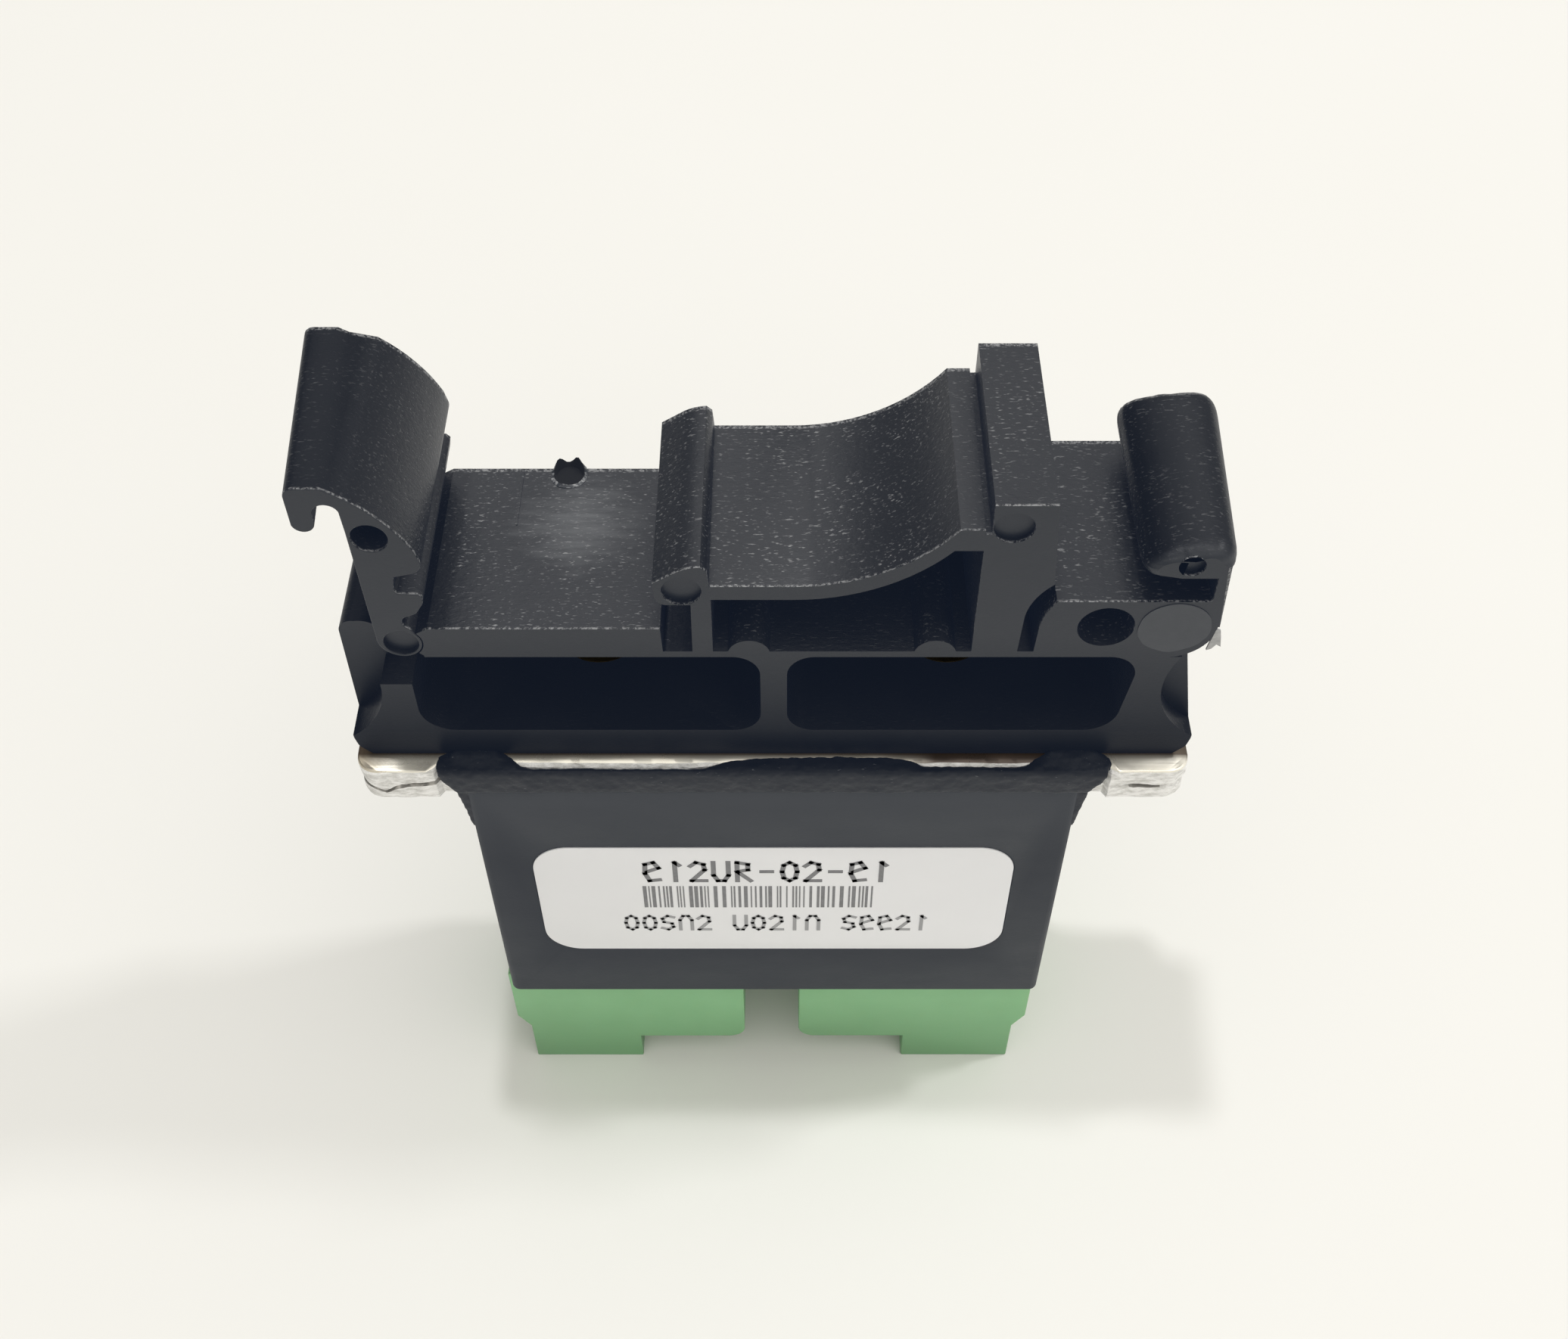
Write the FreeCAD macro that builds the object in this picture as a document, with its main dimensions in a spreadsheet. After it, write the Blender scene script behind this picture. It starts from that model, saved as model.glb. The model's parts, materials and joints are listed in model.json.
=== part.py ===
import FreeCAD, Part
import math
import os
import re
import Sketcher

# Solid state relay on a snap-in foot for a 35 mm mounting rail.  Millimetres.
# The relay stands on its two green plugs, rail foot upwards.
# X runs along the foot, -Y is the labelled face, Z is up, z = 0 is the rest plane.

V = FreeCAD.Vector

DIMS = {
    # rail foot
    "foot_front": 5.15,        # front face to the middle plane
    "foot_back": 5.25,
    "foot_web": 1.3,           # back wall left behind the moulded pockets
    "base_half": 20.4,
    "base_bottom": 31.6,
    "pocket_floor": 33.6,
    "pocket_top": 39.1,
    "pocket_corner": 1.3,
    "flat_top": 41.05,         # left seat, beside the latch
    "upper_floor": 39.5,
    "deck_top": 43.9,
    "deck_wall": 0.85,
    "block_top": 48.93,
    "seat_top": 42.9,          # right seat, under the fixed hook
    "hook_under": 44.44,
    "hook_end": 19.6,
    "foot_side": 20.2,
    "scoop_depth": 2.75,
    "mark_radius": 0.9,        # ejector pin marks
    "mark_depth": 0.3,
    # latch
    "latch_top": 49.9,
    "hinge_out": 16.9,         # flexing line of the latch, from the middle
    "hinge_up": 40.1,
    "root_radius": 0.95,
    "root_gap": 0.05,
    "latch_hole_depth": 2.5,
    # metal base plate
    "plate_half": 20.2,
    "plate_depth": 6.2,        # the two ears
    "plate_waist": 5.85,       # between the ears, where the plate lies in the case
    "ear_start": 16.65,
    "plate_bottom": 29.2,
    "plate_corner": 1.5,
    # fasteners of the foot, M3 screws in pressed-in inserts
    "screw_x": 8.7,
    "screw_y": 1.2,
    "screw_radius": 1.5,
    "screw_tip": 33.4,
    "head_radius": 2.8,
    "head_height": 1.3,
    "recess_half": 1.2,
    "fastener_gap": 0.05,
    "insert_radius": 2.1,
    # moulded case
    "shell_half": 15.3,
    "shell_depth": 6.25,
    "shell_bottom": 10.2,
    "side_wall": 1.2,
    "front_wall": 1.0,
    "rim_top": 29.95,          # front and rear rims stand beside the plate
    "rebate_depth": 5.9,
    "floor_wall": 1.2,
    "mouth_in": 1.75,
    "mouth_out": 14.05,
    "mouth_depth": 5.2,
    # potting compound squeezed out round the plate
    "seal_half": 16.6,
    "seal_face": 6.4,
    "seal_corner": 16.3,
    "seal_top": 31.75,
    "seal_lap": 5.45,
    "seal_flare": 0.75,
    "neck_top": 31.95,
    # label
    "label_half": 12.65,
    "label_low": 14.9,
    "label_high": 25.0,
    "label_back": 6.2,
    "label_face": 6.3,
    "label_corner": 2.0,
    # circuit board and the parts on it
    "board_half": 14.0,
    "board_depth": 5.15,
    "board_low": 18.8,
    "board_top": 20.0,
    "pin_hole": 0.75,
    "pad_height": 0.2,
    "triac_left": -7.5,
    "triac_shoulder": -1.0,
    "triac_right": 8.0,
    "triac_depth": 5.0,
    "triac_height": 4.4,
    "tab_height": 1.3,
    "lead_pitch": 2.54,
    "lead_out": 10.0,
    "lead_wide": 0.8,
    "lead_thick": 0.5,
    "lead_drop": 3.0,
    # terminal headers and plugs
    "shift": -0.2,             # both terminals sit a little to the left
    "pole": 2.54,              # half of the 5.08 mm pitch
    "header_in": 2.0,
    "header_out": 13.8,
    "header_wall": 0.55,
    "header_depth": 5.15,
    "header_low": 10.3,
    "header_floor": 0.8,
    "pin_x": 5.2,
    "pin_half": 0.5,
    "pin_low": 10.6,
    "pin_top": 20.6,
    "plug_in": 1.65,
    "plug_step": 8.1,
    "plug_step_up": 2.5,
    "plug_lower": 14.75,
    "plug_out": 15.45,
    "plug_depth": 5.2,
    "plug_shoulder": 10.15,
    "nose_in": 2.65,
    "nose_out": 13.15,
    "nose_depth": 4.5,
    "nose_top": 16.2,
    "bay_in": 9.4,             # bay of the wire clamp
    "bay_out": 14.1,
    "bay_half": 1.7,
    "bay_low": 5.0,
    "bay_top": 8.7,
    "entry_in": 9.6,
    "entry_out": 12.9,
    "channel_half": 1.15,
    "channel_in": 4.05,
    "channel_out": 12.4,
    "channel_top": 9.45,
    "socket_out": 6.35,
    # wire clamps, their screws and the plug contacts
    "clamp_in": 9.6,
    "clamp_out": 13.2,
    "clamp_wall": 0.6,
    "clamp_cheek": 0.35,
    "clamp_half": 1.6,
    "clamp_low": 5.2,
    "clamp_top": 8.4,
    "thread_radius": 1.2,
    "thread_gap": 0.04,
    "clamp_screw_z": 6.8,
    "clamp_screw_tip": 12.3,
    "clamp_head_seat": 14.5,
    "clamp_head_radius": 1.55,
    "clamp_head_out": 15.3,
    "driver_slot": 0.45,
    "contact_half": 1.1,
    "contact_thick": 0.6,
    "leg_half": 1.0,
    "leg_low": 5.4,
    "leg_out": 12.2,
    "socket_top": 15.6,
    "socket_hole": 0.6,
}

SCREW_PLACES = {"left": "-screw_x", "right": "screw_x"}
POLES = {"front": "-pole", "rear": "pole"}      # Y of the two poles of a terminal

document = FreeCAD.newDocument("relay")
nodes = []                     # every sub-part, in the order it is made


def make_sheet():
    """The spreadsheet that drives every sub-part."""
    sheet = document.addObject("Spreadsheet::Sheet", "Dims")
    for row, (alias, size) in enumerate(DIMS.items(), start=1):
        sheet.set(f"A{row}", alias)
        sheet.set(f"B{row}", str(size))
        sheet.setAlias(f"B{row}", alias)
    document.recompute()


def value(term):
    """The number that a sum of cell names and numbers stands for."""
    if not isinstance(term, str):
        return float(term)
    total = 0.0
    for sign, word in re.findall(r"([+-]?)\s*([a-z_0-9.]+)", term):
        number = DIMS[word] if word in DIMS else float(word)
        total += -number if sign == "-" else number
    return total


def bound(term):
    """The same sum as an expression on the sheet."""
    return re.sub(r"[a-z][a-z_0-9]*", lambda word: "Dims." + word.group(0), term)


def bind(item, prop, term):
    """Give a property its size: from the sheet where the size has a name."""
    if isinstance(term, str):
        item.setExpression(prop, bound(term))
        return
    owner = item
    *path, last = prop.split(".")
    for word in path:
        owner = getattr(owner, word)
    setattr(owner, last, float(term))


def finish_node(item, label):
    """Name a sub-part and keep it for the export."""
    item.Label = label
    nodes.append(item)
    return item


# ---------------------------------------------------------------- sketches

def new_body(name):
    body = document.addObject("PartDesign::Body", name)
    body.AllowCompound = True
    return body


def end_index(sketch, geometry, point):
    """1 or 2: the end of a sketch curve that lies on a point."""
    start = sketch.getPoint(geometry, 1)
    return 1 if (start - point).Length < 1e-6 else 2


def pin_point(sketch, geometry, end, point):
    """Tie a vertex to its two coordinates."""
    for kind, axis, term in (("DistanceX", -2, point[0]), ("DistanceY", -1, point[1])):
        if value(term) == 0.0:
            sketch.addConstraint(Sketcher.Constraint("PointOnObject", geometry, end, axis))
            continue
        row = sketch.addConstraint(Sketcher.Constraint(kind, -1, 1, geometry, end, value(term)))
        if isinstance(term, str):
            sketch.setExpression(f"Constraints[{row}]", bound(term))


def draw_path(sketch, path):
    """A closed outline.  An item (x, y) ends a line; ((mx, my), (x, y)) ends an arc."""
    ends = [item[-1] if isinstance(item[0], tuple) else item for item in path]
    spots = [V(value(end[0]), value(end[1]), 0) for end in ends]
    rows = []
    for index, item in enumerate(path):
        start, stop = spots[index - 1], spots[index]
        if isinstance(item[0], tuple):
            middle = V(value(item[0][0]), value(item[0][1]), 0)
            row = sketch.addGeometry(Part.Arc(start, middle, stop))
            radius = sketch.Geometry[row].Radius
            sketch.addConstraint(Sketcher.Constraint("Radius", row, radius))
        else:
            row = sketch.addGeometry(Part.LineSegment(start, stop))
        rows.append(row)
    for index, row in enumerate(rows):
        following = rows[(index + 1) % len(rows)]
        end = end_index(sketch, row, spots[index])
        start = end_index(sketch, following, spots[index])
        sketch.addConstraint(Sketcher.Constraint("Coincident", row, end, following, start))
        pin_point(sketch, row, end, ends[index])


def draw_circle(sketch, x, y, radius):
    row = sketch.addGeometry(Part.Circle(V(value(x), value(y), 0), V(0, 0, 1), value(radius)))
    pin_point(sketch, row, 3, (x, y))
    size = sketch.addConstraint(Sketcher.Constraint("Radius", row, value(radius)))
    if isinstance(radius, str):
        sketch.setExpression(f"Constraints[{size}]", bound(radius))


def new_sketch(body, name, plane, offset, paths=(), circles=()):
    """A sketch on one of the body's own planes, moved along the plane's normal."""
    sketch = body.newObject("Sketcher::SketchObject", name)
    origin = [item for item in body.Origin.OriginFeatures if item.Role == plane][0]
    sketch.AttachmentSupport = (origin, [""])
    sketch.MapMode = "FlatFace"
    bind(sketch, "AttachmentOffset.Base.z", offset)
    for path in paths:
        draw_path(sketch, path)
    for circle in circles:
        draw_circle(sketch, *circle)
    return sketch


def pad(body, sketch, length, symmetric=False):
    feature = body.newObject("PartDesign::Pad", sketch.Name + "_pad")
    feature.Profile = sketch
    bind(feature, "Length", length)
    feature.SideType = "Symmetric" if symmetric else "One side"
    return feature


def pocket(body, sketch, length, outward=False):
    """A cut against the sketch's normal, or along it, that has to remove something."""
    document.recompute()
    before = body.Shape.Volume
    feature = body.newObject("PartDesign::Pocket", sketch.Name + "_cut")
    feature.Profile = sketch
    bind(feature, "Length", length)
    feature.Reversed = outward
    document.recompute()
    if body.Shape.Volume > before - 1e-3:
        raise RuntimeError(f"{feature.Name} cuts nothing")
    return feature


def rectangle(x0, x1, y0, y1):
    return [(x1, y0), (x1, y1), (x0, y1), (x0, y0)]


def rounded(corners):
    """An outline from (x, y, radius) corners, with tangent arcs at the rounded ones."""
    path = []
    for index, (x, y, radius) in enumerate(corners):
        spot = V(value(x), value(y), 0)
        if not radius:
            path.append((x, y))
            continue
        before = corners[index - 1]
        after = corners[(index + 1) % len(corners)]
        back = (V(value(before[0]), value(before[1]), 0) - spot).normalize()
        ahead = (V(value(after[0]), value(after[1]), 0) - spot).normalize()
        half = back.getAngle(ahead) / 2
        reach = value(radius) / math.tan(half)
        centre = spot + (back + ahead).normalize() * (value(radius) / math.sin(half))
        middle = centre + (spot - centre).normalize() * value(radius)
        start = spot + back * reach
        stop = spot + ahead * reach
        path.append((start.x, start.y))
        path.append(((middle.x, middle.y), (stop.x, stop.y)))
    return path


# ---------------------------------------------------------------- primitives

def box(name, x0, x1, y0, y1, z0, z1):
    """A box between named limits."""
    item = document.addObject("Part::Box", name)
    for prop, low, high in (("Length", x0, x1), ("Width", y0, y1), ("Height", z0, z1)):
        item.setExpression(prop, f"({bound(str(high))}) - ({bound(str(low))})")
    for axis, low in (("x", x0), ("y", y0), ("z", z0)):
        item.setExpression(f"Placement.Base.{axis}", bound(str(low)))
    return item


def cylinder(name, base, axis, radius, length):
    """A cylinder from a base point along an axis."""
    item = document.addObject("Part::Cylinder", name)
    bind(item, "Radius", radius)
    bind(item, "Height", length)
    item.Placement = FreeCAD.Placement(V(0, 0, 0), FreeCAD.Rotation(V(0, 0, 1), V(*axis)))
    for letter, term in zip("xyz", base):
        bind(item, f"Placement.Base.{letter}", term)
    return item


def cut(name, base, *tools):
    item = document.addObject("Part::Cut", name)
    item.Base = base
    item.Tool = tools[0] if len(tools) == 1 else fuse(name + "_tools", *tools)
    return item


def fuse(name, *shapes):
    item = document.addObject("Part::MultiFuse", name)
    item.Shapes = list(shapes)
    return item


def group(name, *shapes):
    """Separate solids that share one node."""
    item = document.addObject("Part::Compound", name)
    item.Links = list(shapes)
    return item


# ---------------------------------------------------------------- rail foot

def socket_point(degrees):
    """A point of the round socket that the latch root turns in."""
    reach = value("root_radius+root_gap")
    angle = math.radians(degrees)
    return (value("-hinge_out") + reach * math.cos(angle), value("hinge_up") + reach * math.sin(angle))


def foot_outline():
    """Side view of the moulded foot, clockwise from the lower left corner."""
    return [
        (-19.7, "base_bottom"), (-20.25, 32.3), ("-base_half", 33.0), (-20.3, 38.8),
        ((-20.05, 39.35), (-19.5, 39.5)), ((-18.8, 39.4), (-18.3, 38.9)), (-18.2, 37.1), (-16.0, 37.1),
        (-16.0, 39.2), socket_point(-45), (socket_point(-5), socket_point(40)),
        (-15.6, "flat_top"), (-5.05, "flat_top"), (-4.5, "upper_floor"), (-3.64, "upper_floor"),
        # ridge for the edge of a narrow rail
        (-3.6, 42.7), (-4.7, 42.7), ((-5.05, 42.88), (-5.2, 43.25)), (-5.25, 44.1),
        (-4.35, 44.7), ((-3.8, 45.0), (-3.1, 45.15)), (-2.83, 44.9), (-2.75, "deck_top"),
        # hollow deck that rises to the block
        (1.0, "deck_top"), ((4.65, 44.69), (8.07, 47.45)), (9.13, 47.45), (9.13, 47.2),
        (9.41, 47.2), (9.41, "block_top"), (12.1, "block_top"), (12.45, 44.05),
        # springy slot, right seat and fixed hook
        ((11.68, 43.05), (11.35, 41.9)), (11.25, "upper_floor"), (12.0, "upper_floor"),
        (12.07, 40.9), ((12.25, 41.95), (12.7, "seat_top")), ("hook_end", "seat_top"),
        ("hook_end", "hook_under"), (17.3, "hook_under"), (16.1, 44.62),
        ((15.8, 44.92), (16.1, 45.17)), (17.1, 45.4), ((18.1, 45.98), (19.3, 46.15)),
        ((20.02, 45.85), (20.3, 45.1)), ("foot_side", 39.2), ("foot_side", 38.6),
        ("base_half", 33.0), (20.25, 32.3), (19.7, "base_bottom"),
    ]


def upper_pocket():
    """Hollow under the deck, with two half round pads on its floor."""
    return [
        ("deck_wall+8.3", "upper_floor"), (8.45, "upper_floor"), ((7.5, 40.25), (6.55, "upper_floor")),
        (-0.1, "upper_floor"), ((-1.05, 40.25), (-2.0, "upper_floor")), (-2.7, "upper_floor"),
        (-2.7, "deck_top-deck_wall"), (1.0, "deck_top-deck_wall"), ((4.7, 43.83), (7.9, 46.2)),
        ("deck_wall+8.3", 46.2),
    ]


def make_foot():
    body = new_body("rail_foot_body")
    depth = "foot_front+foot_back"
    pad(body, new_sketch(body, "foot_side_view", "XZ_Plane", "-foot_back", [foot_outline()]), depth)
    corner = "pocket_corner"
    left = rounded([(-16.9, "pocket_top", 0), (-0.55, "pocket_top", corner),
                    (-0.55, "pocket_floor", corner), (-16.9, "pocket_floor", 1.6)])
    right = rounded([(0.7, "pocket_top", corner), (17.1, "pocket_top", corner),
                     (16.4, "pocket_floor", 1.6), (0.7, "pocket_floor", corner)])
    hollow = new_sketch(body, "foot_pockets", "XZ_Plane", "foot_front", [left, right, upper_pocket()])
    pocket(body, hollow, "foot_front+foot_back-foot_web")
    # both ends of the base are scooped out in front
    left_scoop = [(-18.0, 39.8), (-22.0, 39.8), (-22.0, 33.2), (-20.3, 33.2),
                  ((-18.75, 35.2), (-18.4, 37.1)), (-18.0, 37.1)]
    right_scoop = [((19.6, 39.75), (18.3, "pocket_top")), (18.9, "pocket_top"),
                   ((18.5, 35.7), (20.3, 33.2)), (22.0, 33.2), (22.0, 41.2), ("foot_side-0.05", 41.2)]
    scoops = new_sketch(body, "foot_scoops", "XZ_Plane", "foot_front", [left_scoop, right_scoop])
    pocket(body, scoops, "scoop_depth")
    eye = new_sketch(body, "foot_eye", "XZ_Plane", "foot_front", circles=[(15.1, 41.2, 1.3)])
    pocket(body, eye, "foot_front+foot_back-foot_web")
    disc = new_sketch(body, "foot_disc", "XZ_Plane", "foot_front", circles=[(18.2, 41.15, 1.65)])
    pocket(body, disc, 0.5)
    marks = [(-3.98, 43.6, "mark_radius"), (10.33, 47.6, "mark_radius"), (18.3, 45.2, 0.6)]
    pocket(body, new_sketch(body, "foot_marks", "XZ_Plane", "foot_front", circles=marks), "mark_depth")
    holes = [(place, "screw_y", "insert_radius") for place in SCREW_PLACES.values()]
    drill = new_sketch(body, "foot_holes", "XY_Plane", "pocket_floor", circles=holes)
    pocket(body, drill, "pocket_floor-base_bottom")
    return finish_node(body, "rail_foot")


def root_point(degrees):
    """A point of the latch's round root."""
    angle = math.radians(degrees)
    reach = value("root_radius")
    return (value("-hinge_out") + reach * math.cos(angle), value("hinge_up") + reach * math.sin(angle))


def latch_outline():
    """Side view of the flexing latch, anticlockwise from the left of its root."""
    return [
        (-18.0, 40.4), ((-17.84, 39.7), root_point(-110)), (root_point(-35), root_point(40)),
        (-16.4, 41.1), ((-16.62, 41.62), (-16.25, 41.9)), (-15.9, 42.1), (-15.53, 42.7),
        (-15.45, 43.2), (-15.62, 43.4), (-16.5, 43.45), (-16.65, 43.6), (-16.52, 44.5),
        (-15.75, 44.7), ((-15.3, 45.0), (-15.22, 45.5)), (-15.35, 46.1),
        ((-16.35, 47.85), (-18.7, "latch_top")), (-19.8, "latch_top"),
        ((-20.15, 49.75), (-20.3, 49.4)), (-20.3, 47.75), ((-19.8, 47.35), (-19.3, 47.75)),
        (-19.25, 48.55), ((-18.7, 48.95), (-18.15, 48.55)), (-18.1, 47.3),
    ]


def make_latch():
    body = new_body("rail_latch_body")
    view = new_sketch(body, "latch_side_view", "XZ_Plane", "-foot_back", [latch_outline()])
    pad(body, view, "foot_front+foot_back")
    hole = new_sketch(body, "latch_hole", "XZ_Plane", "foot_front", circles=[(-17.15, 46.95, 0.62)])
    pocket(body, hole, "latch_hole_depth")
    mark = new_sketch(body, "latch_mark", "XZ_Plane", "foot_front",
                      circles=[("-hinge_out", "hinge_up", 0.8)])
    pocket(body, mark, "mark_depth")
    return finish_node(body, "rail_latch")


# ---------------------------------------------------------------- plate and its fasteners

def make_plate():
    body = new_body("base_plate_body")
    corner = "plate_corner"
    outline = rounded([
        ("plate_half", "-plate_depth", corner), ("plate_half", "plate_depth", corner),
        ("ear_start", "plate_depth", 0), ("ear_start", "plate_waist", 0),
        ("-ear_start", "plate_waist", 0), ("-ear_start", "plate_depth", 0),
        ("-plate_half", "plate_depth", corner), ("-plate_half", "-plate_depth", corner),
        ("-ear_start", "-plate_depth", 0), ("-ear_start", "-plate_waist", 0),
        ("ear_start", "-plate_waist", 0), ("ear_start", "-plate_depth", 0),
    ])
    flat = new_sketch(body, "plate_outline", "XY_Plane", "plate_bottom", [outline])
    pad(body, flat, "base_bottom-plate_bottom")
    document.recompute()
    gap = "screw_radius+fastener_gap"
    holes = [(place, "screw_y", gap) for place in SCREW_PLACES.values()]
    drill = new_sketch(body, "plate_holes", "XY_Plane", "base_bottom", circles=holes)
    pocket(body, drill, "base_bottom-plate_bottom")
    sinks = []
    for name, place in SCREW_PLACES.items():
        sinks.append(countersink(f"plate_sink_{name}", place, "head_radius+fastener_gap", gap,
                                 "head_height+fastener_gap"))
    return finish_node(cut("base_plate_part", body, *sinks), "base_plate")


def countersink(name, place, wide, narrow, height):
    """A cone that is wide at the underside of the plate."""
    cone = document.addObject("Part::Cone", name)
    bind(cone, "Radius1", wide)
    bind(cone, "Radius2", narrow)
    bind(cone, "Height", height)
    bind(cone, "Placement.Base.x", place)
    bind(cone, "Placement.Base.y", "screw_y")
    bind(cone, "Placement.Base.z", "plate_bottom")
    return cone


def make_foot_screws():
    screws = []
    for name, place in SCREW_PLACES.items():
        head = countersink("screw_head_" + name, place, "head_radius", "screw_radius", "head_height")
        shank = cylinder("screw_shank_" + name, (place, "screw_y", "plate_bottom+head_height"), (0, 0, 1),
                         "screw_radius", "screw_tip-plate_bottom-head_height")
        recess = box("screw_drive_" + name, place + "-recess_half", place + "+recess_half",
                     "screw_y-0.25", "screw_y+0.25", "plate_bottom-0.1", "plate_bottom+0.7")
        screws.append(cut("screw_" + name, fuse("screw_blank_" + name, head, shank), recess))
    return finish_node(group("foot_screw_pair", *screws), "foot_screws")


def make_foot_inserts():
    """Threaded sleeves pressed into the floor of the foot."""
    sleeves = []
    for name, place in SCREW_PLACES.items():
        base = (place, "screw_y", "base_bottom")
        sleeve = cylinder("sleeve_" + name, base, (0, 0, 1), "insert_radius", "pocket_floor-base_bottom")
        bore = cylinder("sleeve_bore_" + name, base, (0, 0, 1), "screw_radius+thread_gap",
                        "pocket_floor-base_bottom")
        sleeves.append(cut("insert_" + name, sleeve, bore))
    return finish_node(group("foot_insert_pair", *sleeves), "foot_inserts")


# ---------------------------------------------------------------- case, seal and label

def make_shell():
    body = new_body("body_shell_body")
    corner = 0.5
    outline = rounded([("shell_half", "-shell_depth", corner), ("shell_half", "shell_depth", corner),
                       ("-shell_half", "shell_depth", corner), ("-shell_half", "-shell_depth", corner)])
    block = new_sketch(body, "shell_outline", "XY_Plane", "shell_bottom", [outline])
    pad(body, block, "rim_top-shell_bottom")
    rebate = new_sketch(body, "shell_rebate", "XY_Plane", "rim_top",
                        [rectangle("-shell_half-1", "shell_half+1", "-rebate_depth", "rebate_depth")])
    pocket(body, rebate, "rim_top-plate_bottom")
    inside = rectangle("side_wall-shell_half", "shell_half-side_wall",
                       "front_wall-shell_depth", "shell_depth-front_wall")
    cavity = new_sketch(body, "shell_cavity", "XY_Plane", "plate_bottom", [inside])
    pocket(body, cavity, "plate_bottom-shell_bottom-floor_wall")
    mouths = [rectangle("-mouth_out", "-mouth_in", "-mouth_depth", "mouth_depth"),
              rectangle("mouth_in", "mouth_out", "-mouth_depth", "mouth_depth")]
    openings = new_sketch(body, "shell_mouths", "XY_Plane", "shell_bottom+floor_wall", mouths)
    pocket(body, openings, "floor_wall")
    seat = new_sketch(body, "label_seat", "XZ_Plane", "shell_depth", [label_outline(0.05)])
    pocket(body, seat, "shell_depth-label_back")
    return finish_node(body, "body_shell")


def label_outline(margin):
    side = f"label_half+{margin}"
    low = f"label_low-{margin}"
    high = f"label_high+{margin}"
    corner = "label_corner"
    return rounded([("-" + side.replace("+", "-"), low, corner), (side, low, corner),
                    (side, high, corner), ("-" + side.replace("+", "-"), high, corner)])


def make_label():
    body = new_body("label_body")
    outline = new_sketch(body, "label_outline", "XZ_Plane", "label_back", [label_outline(0.0)])
    pad(body, outline, "label_face-label_back")
    return finish_node(body, "label")


def make_seal():
    """Bead of potting compound: over both long edges of the plate and under its ears."""
    blocks = []
    for name, sign in (("front", -1), ("rear", 1)):
        blocks.append(seal_strip(f"seal_{name}_skin", sign, "plate_waist", "seal_face",
                                 "-seal_half", "seal_half", "rim_top", "seal_top"))
        ends = (("left", "-seal_corner", "-shell_half"), ("right", "shell_half", "seal_corner"))
        for end, left, right in ends:
            blocks.append(seal_strip(f"seal_{name}_{end}_corner", sign, "plate_waist", "seal_face",
                                     left, right, "plate_bottom", "rim_top"))
        blocks.append(seal_strip(f"seal_{name}_lap", sign, "seal_lap", "seal_face",
                                 "-seal_half", "seal_half", "base_bottom", "seal_top"))
        for index, (left, right) in enumerate(((-15.5, -13.0), (13.4, 16.2))):
            blocks.append(seal_strip(f"seal_{name}_neck_{index}", sign, "foot_back", "seal_face",
                                     left, right, "base_bottom", "neck_top"))
    for name, sign in (("left", "-"), ("right", "")):
        blocks.append(seal_flare(name, sign))
    return finish_node(fuse("resin_seal_part", *blocks), "resin_seal")


def seal_strip(name, sign, near, far, x0, x1, z0, z1):
    """A strip along X on one side of the middle plane."""
    if sign > 0:
        return box(name, x0, x1, near, far, z0, z1)
    return box(name, x0, x1, "-" + far, "-" + near, z0, z1)


def seal_flare(name, sign):
    """Bead in the corner between the case and one ear of the plate."""
    body = new_body(f"seal_flare_{name}")
    inner = sign + "shell_half"
    outer = "shell_half+seal_flare" if sign == "" else "-shell_half-seal_flare"
    corner = [(inner, "plate_bottom-seal_flare-0.4"), (inner, "plate_bottom"), (outer, "plate_bottom"),
              (outer, "plate_bottom-0.2")]
    view = new_sketch(body, f"seal_corner_{name}", "XZ_Plane", "-seal_face", [corner])
    pad(body, view, "seal_face+seal_face")
    return body


# ---------------------------------------------------------------- circuit

def make_board():
    board = box("board_blank", "-board_half", "board_half", "-board_depth", "board_depth",
                "board_low", "board_top")
    holes = []
    for sign in "-+":
        for pole, place in POLES.items():
            base = (f"shift{sign}pin_x", place, "board_low-1")
            holes.append(cylinder(f"board_hole_{len(holes)}_{pole}", base, (0, 0, 1), "pin_hole", 4))
    return finish_node(cut("circuit_board_part", board, *holes), "circuit_board")


def make_triac():
    top = "plate_bottom-pad_height"
    tab = box("triac_tab", "triac_left", "triac_shoulder", "-triac_depth", "triac_depth",
              top + "-tab_height", top)
    case = box("triac_case", "triac_shoulder", "triac_right", "-triac_depth", "triac_depth",
               top + "-triac_height", top)
    hole = cylinder("triac_hole", ("triac_left+2.9", 0, top + "-2"), (0, 0, 1), 1.8, 3)
    finish_node(cut("power_triac_part", fuse("triac_blank", tab, case), hole), "power_triac")
    pad_item = box("insulating_pad_part", "triac_left-0.5", "triac_right+0.5",
                   "-triac_depth", "triac_depth", top, "plate_bottom")
    finish_node(pad_item, "insulating_pad")
    leads = []
    level = top + "-lead_drop"
    for row, place in enumerate(("-lead_pitch", "0", "lead_pitch")):
        low, high = place + "-lead_wide/2", place + "+lead_wide/2"
        run = box(f"lead_run_{row}", "triac_right", "lead_out", low, high, level, level + "+lead_thick")
        drop = box(f"lead_drop_{row}", "lead_out-lead_thick", "lead_out", low, high, "board_top",
                   level + "+lead_thick")
        leads.append(fuse(f"lead_{row}", run, drop))
    finish_node(group("triac_lead_set", *leads), "triac_leads")


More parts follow.
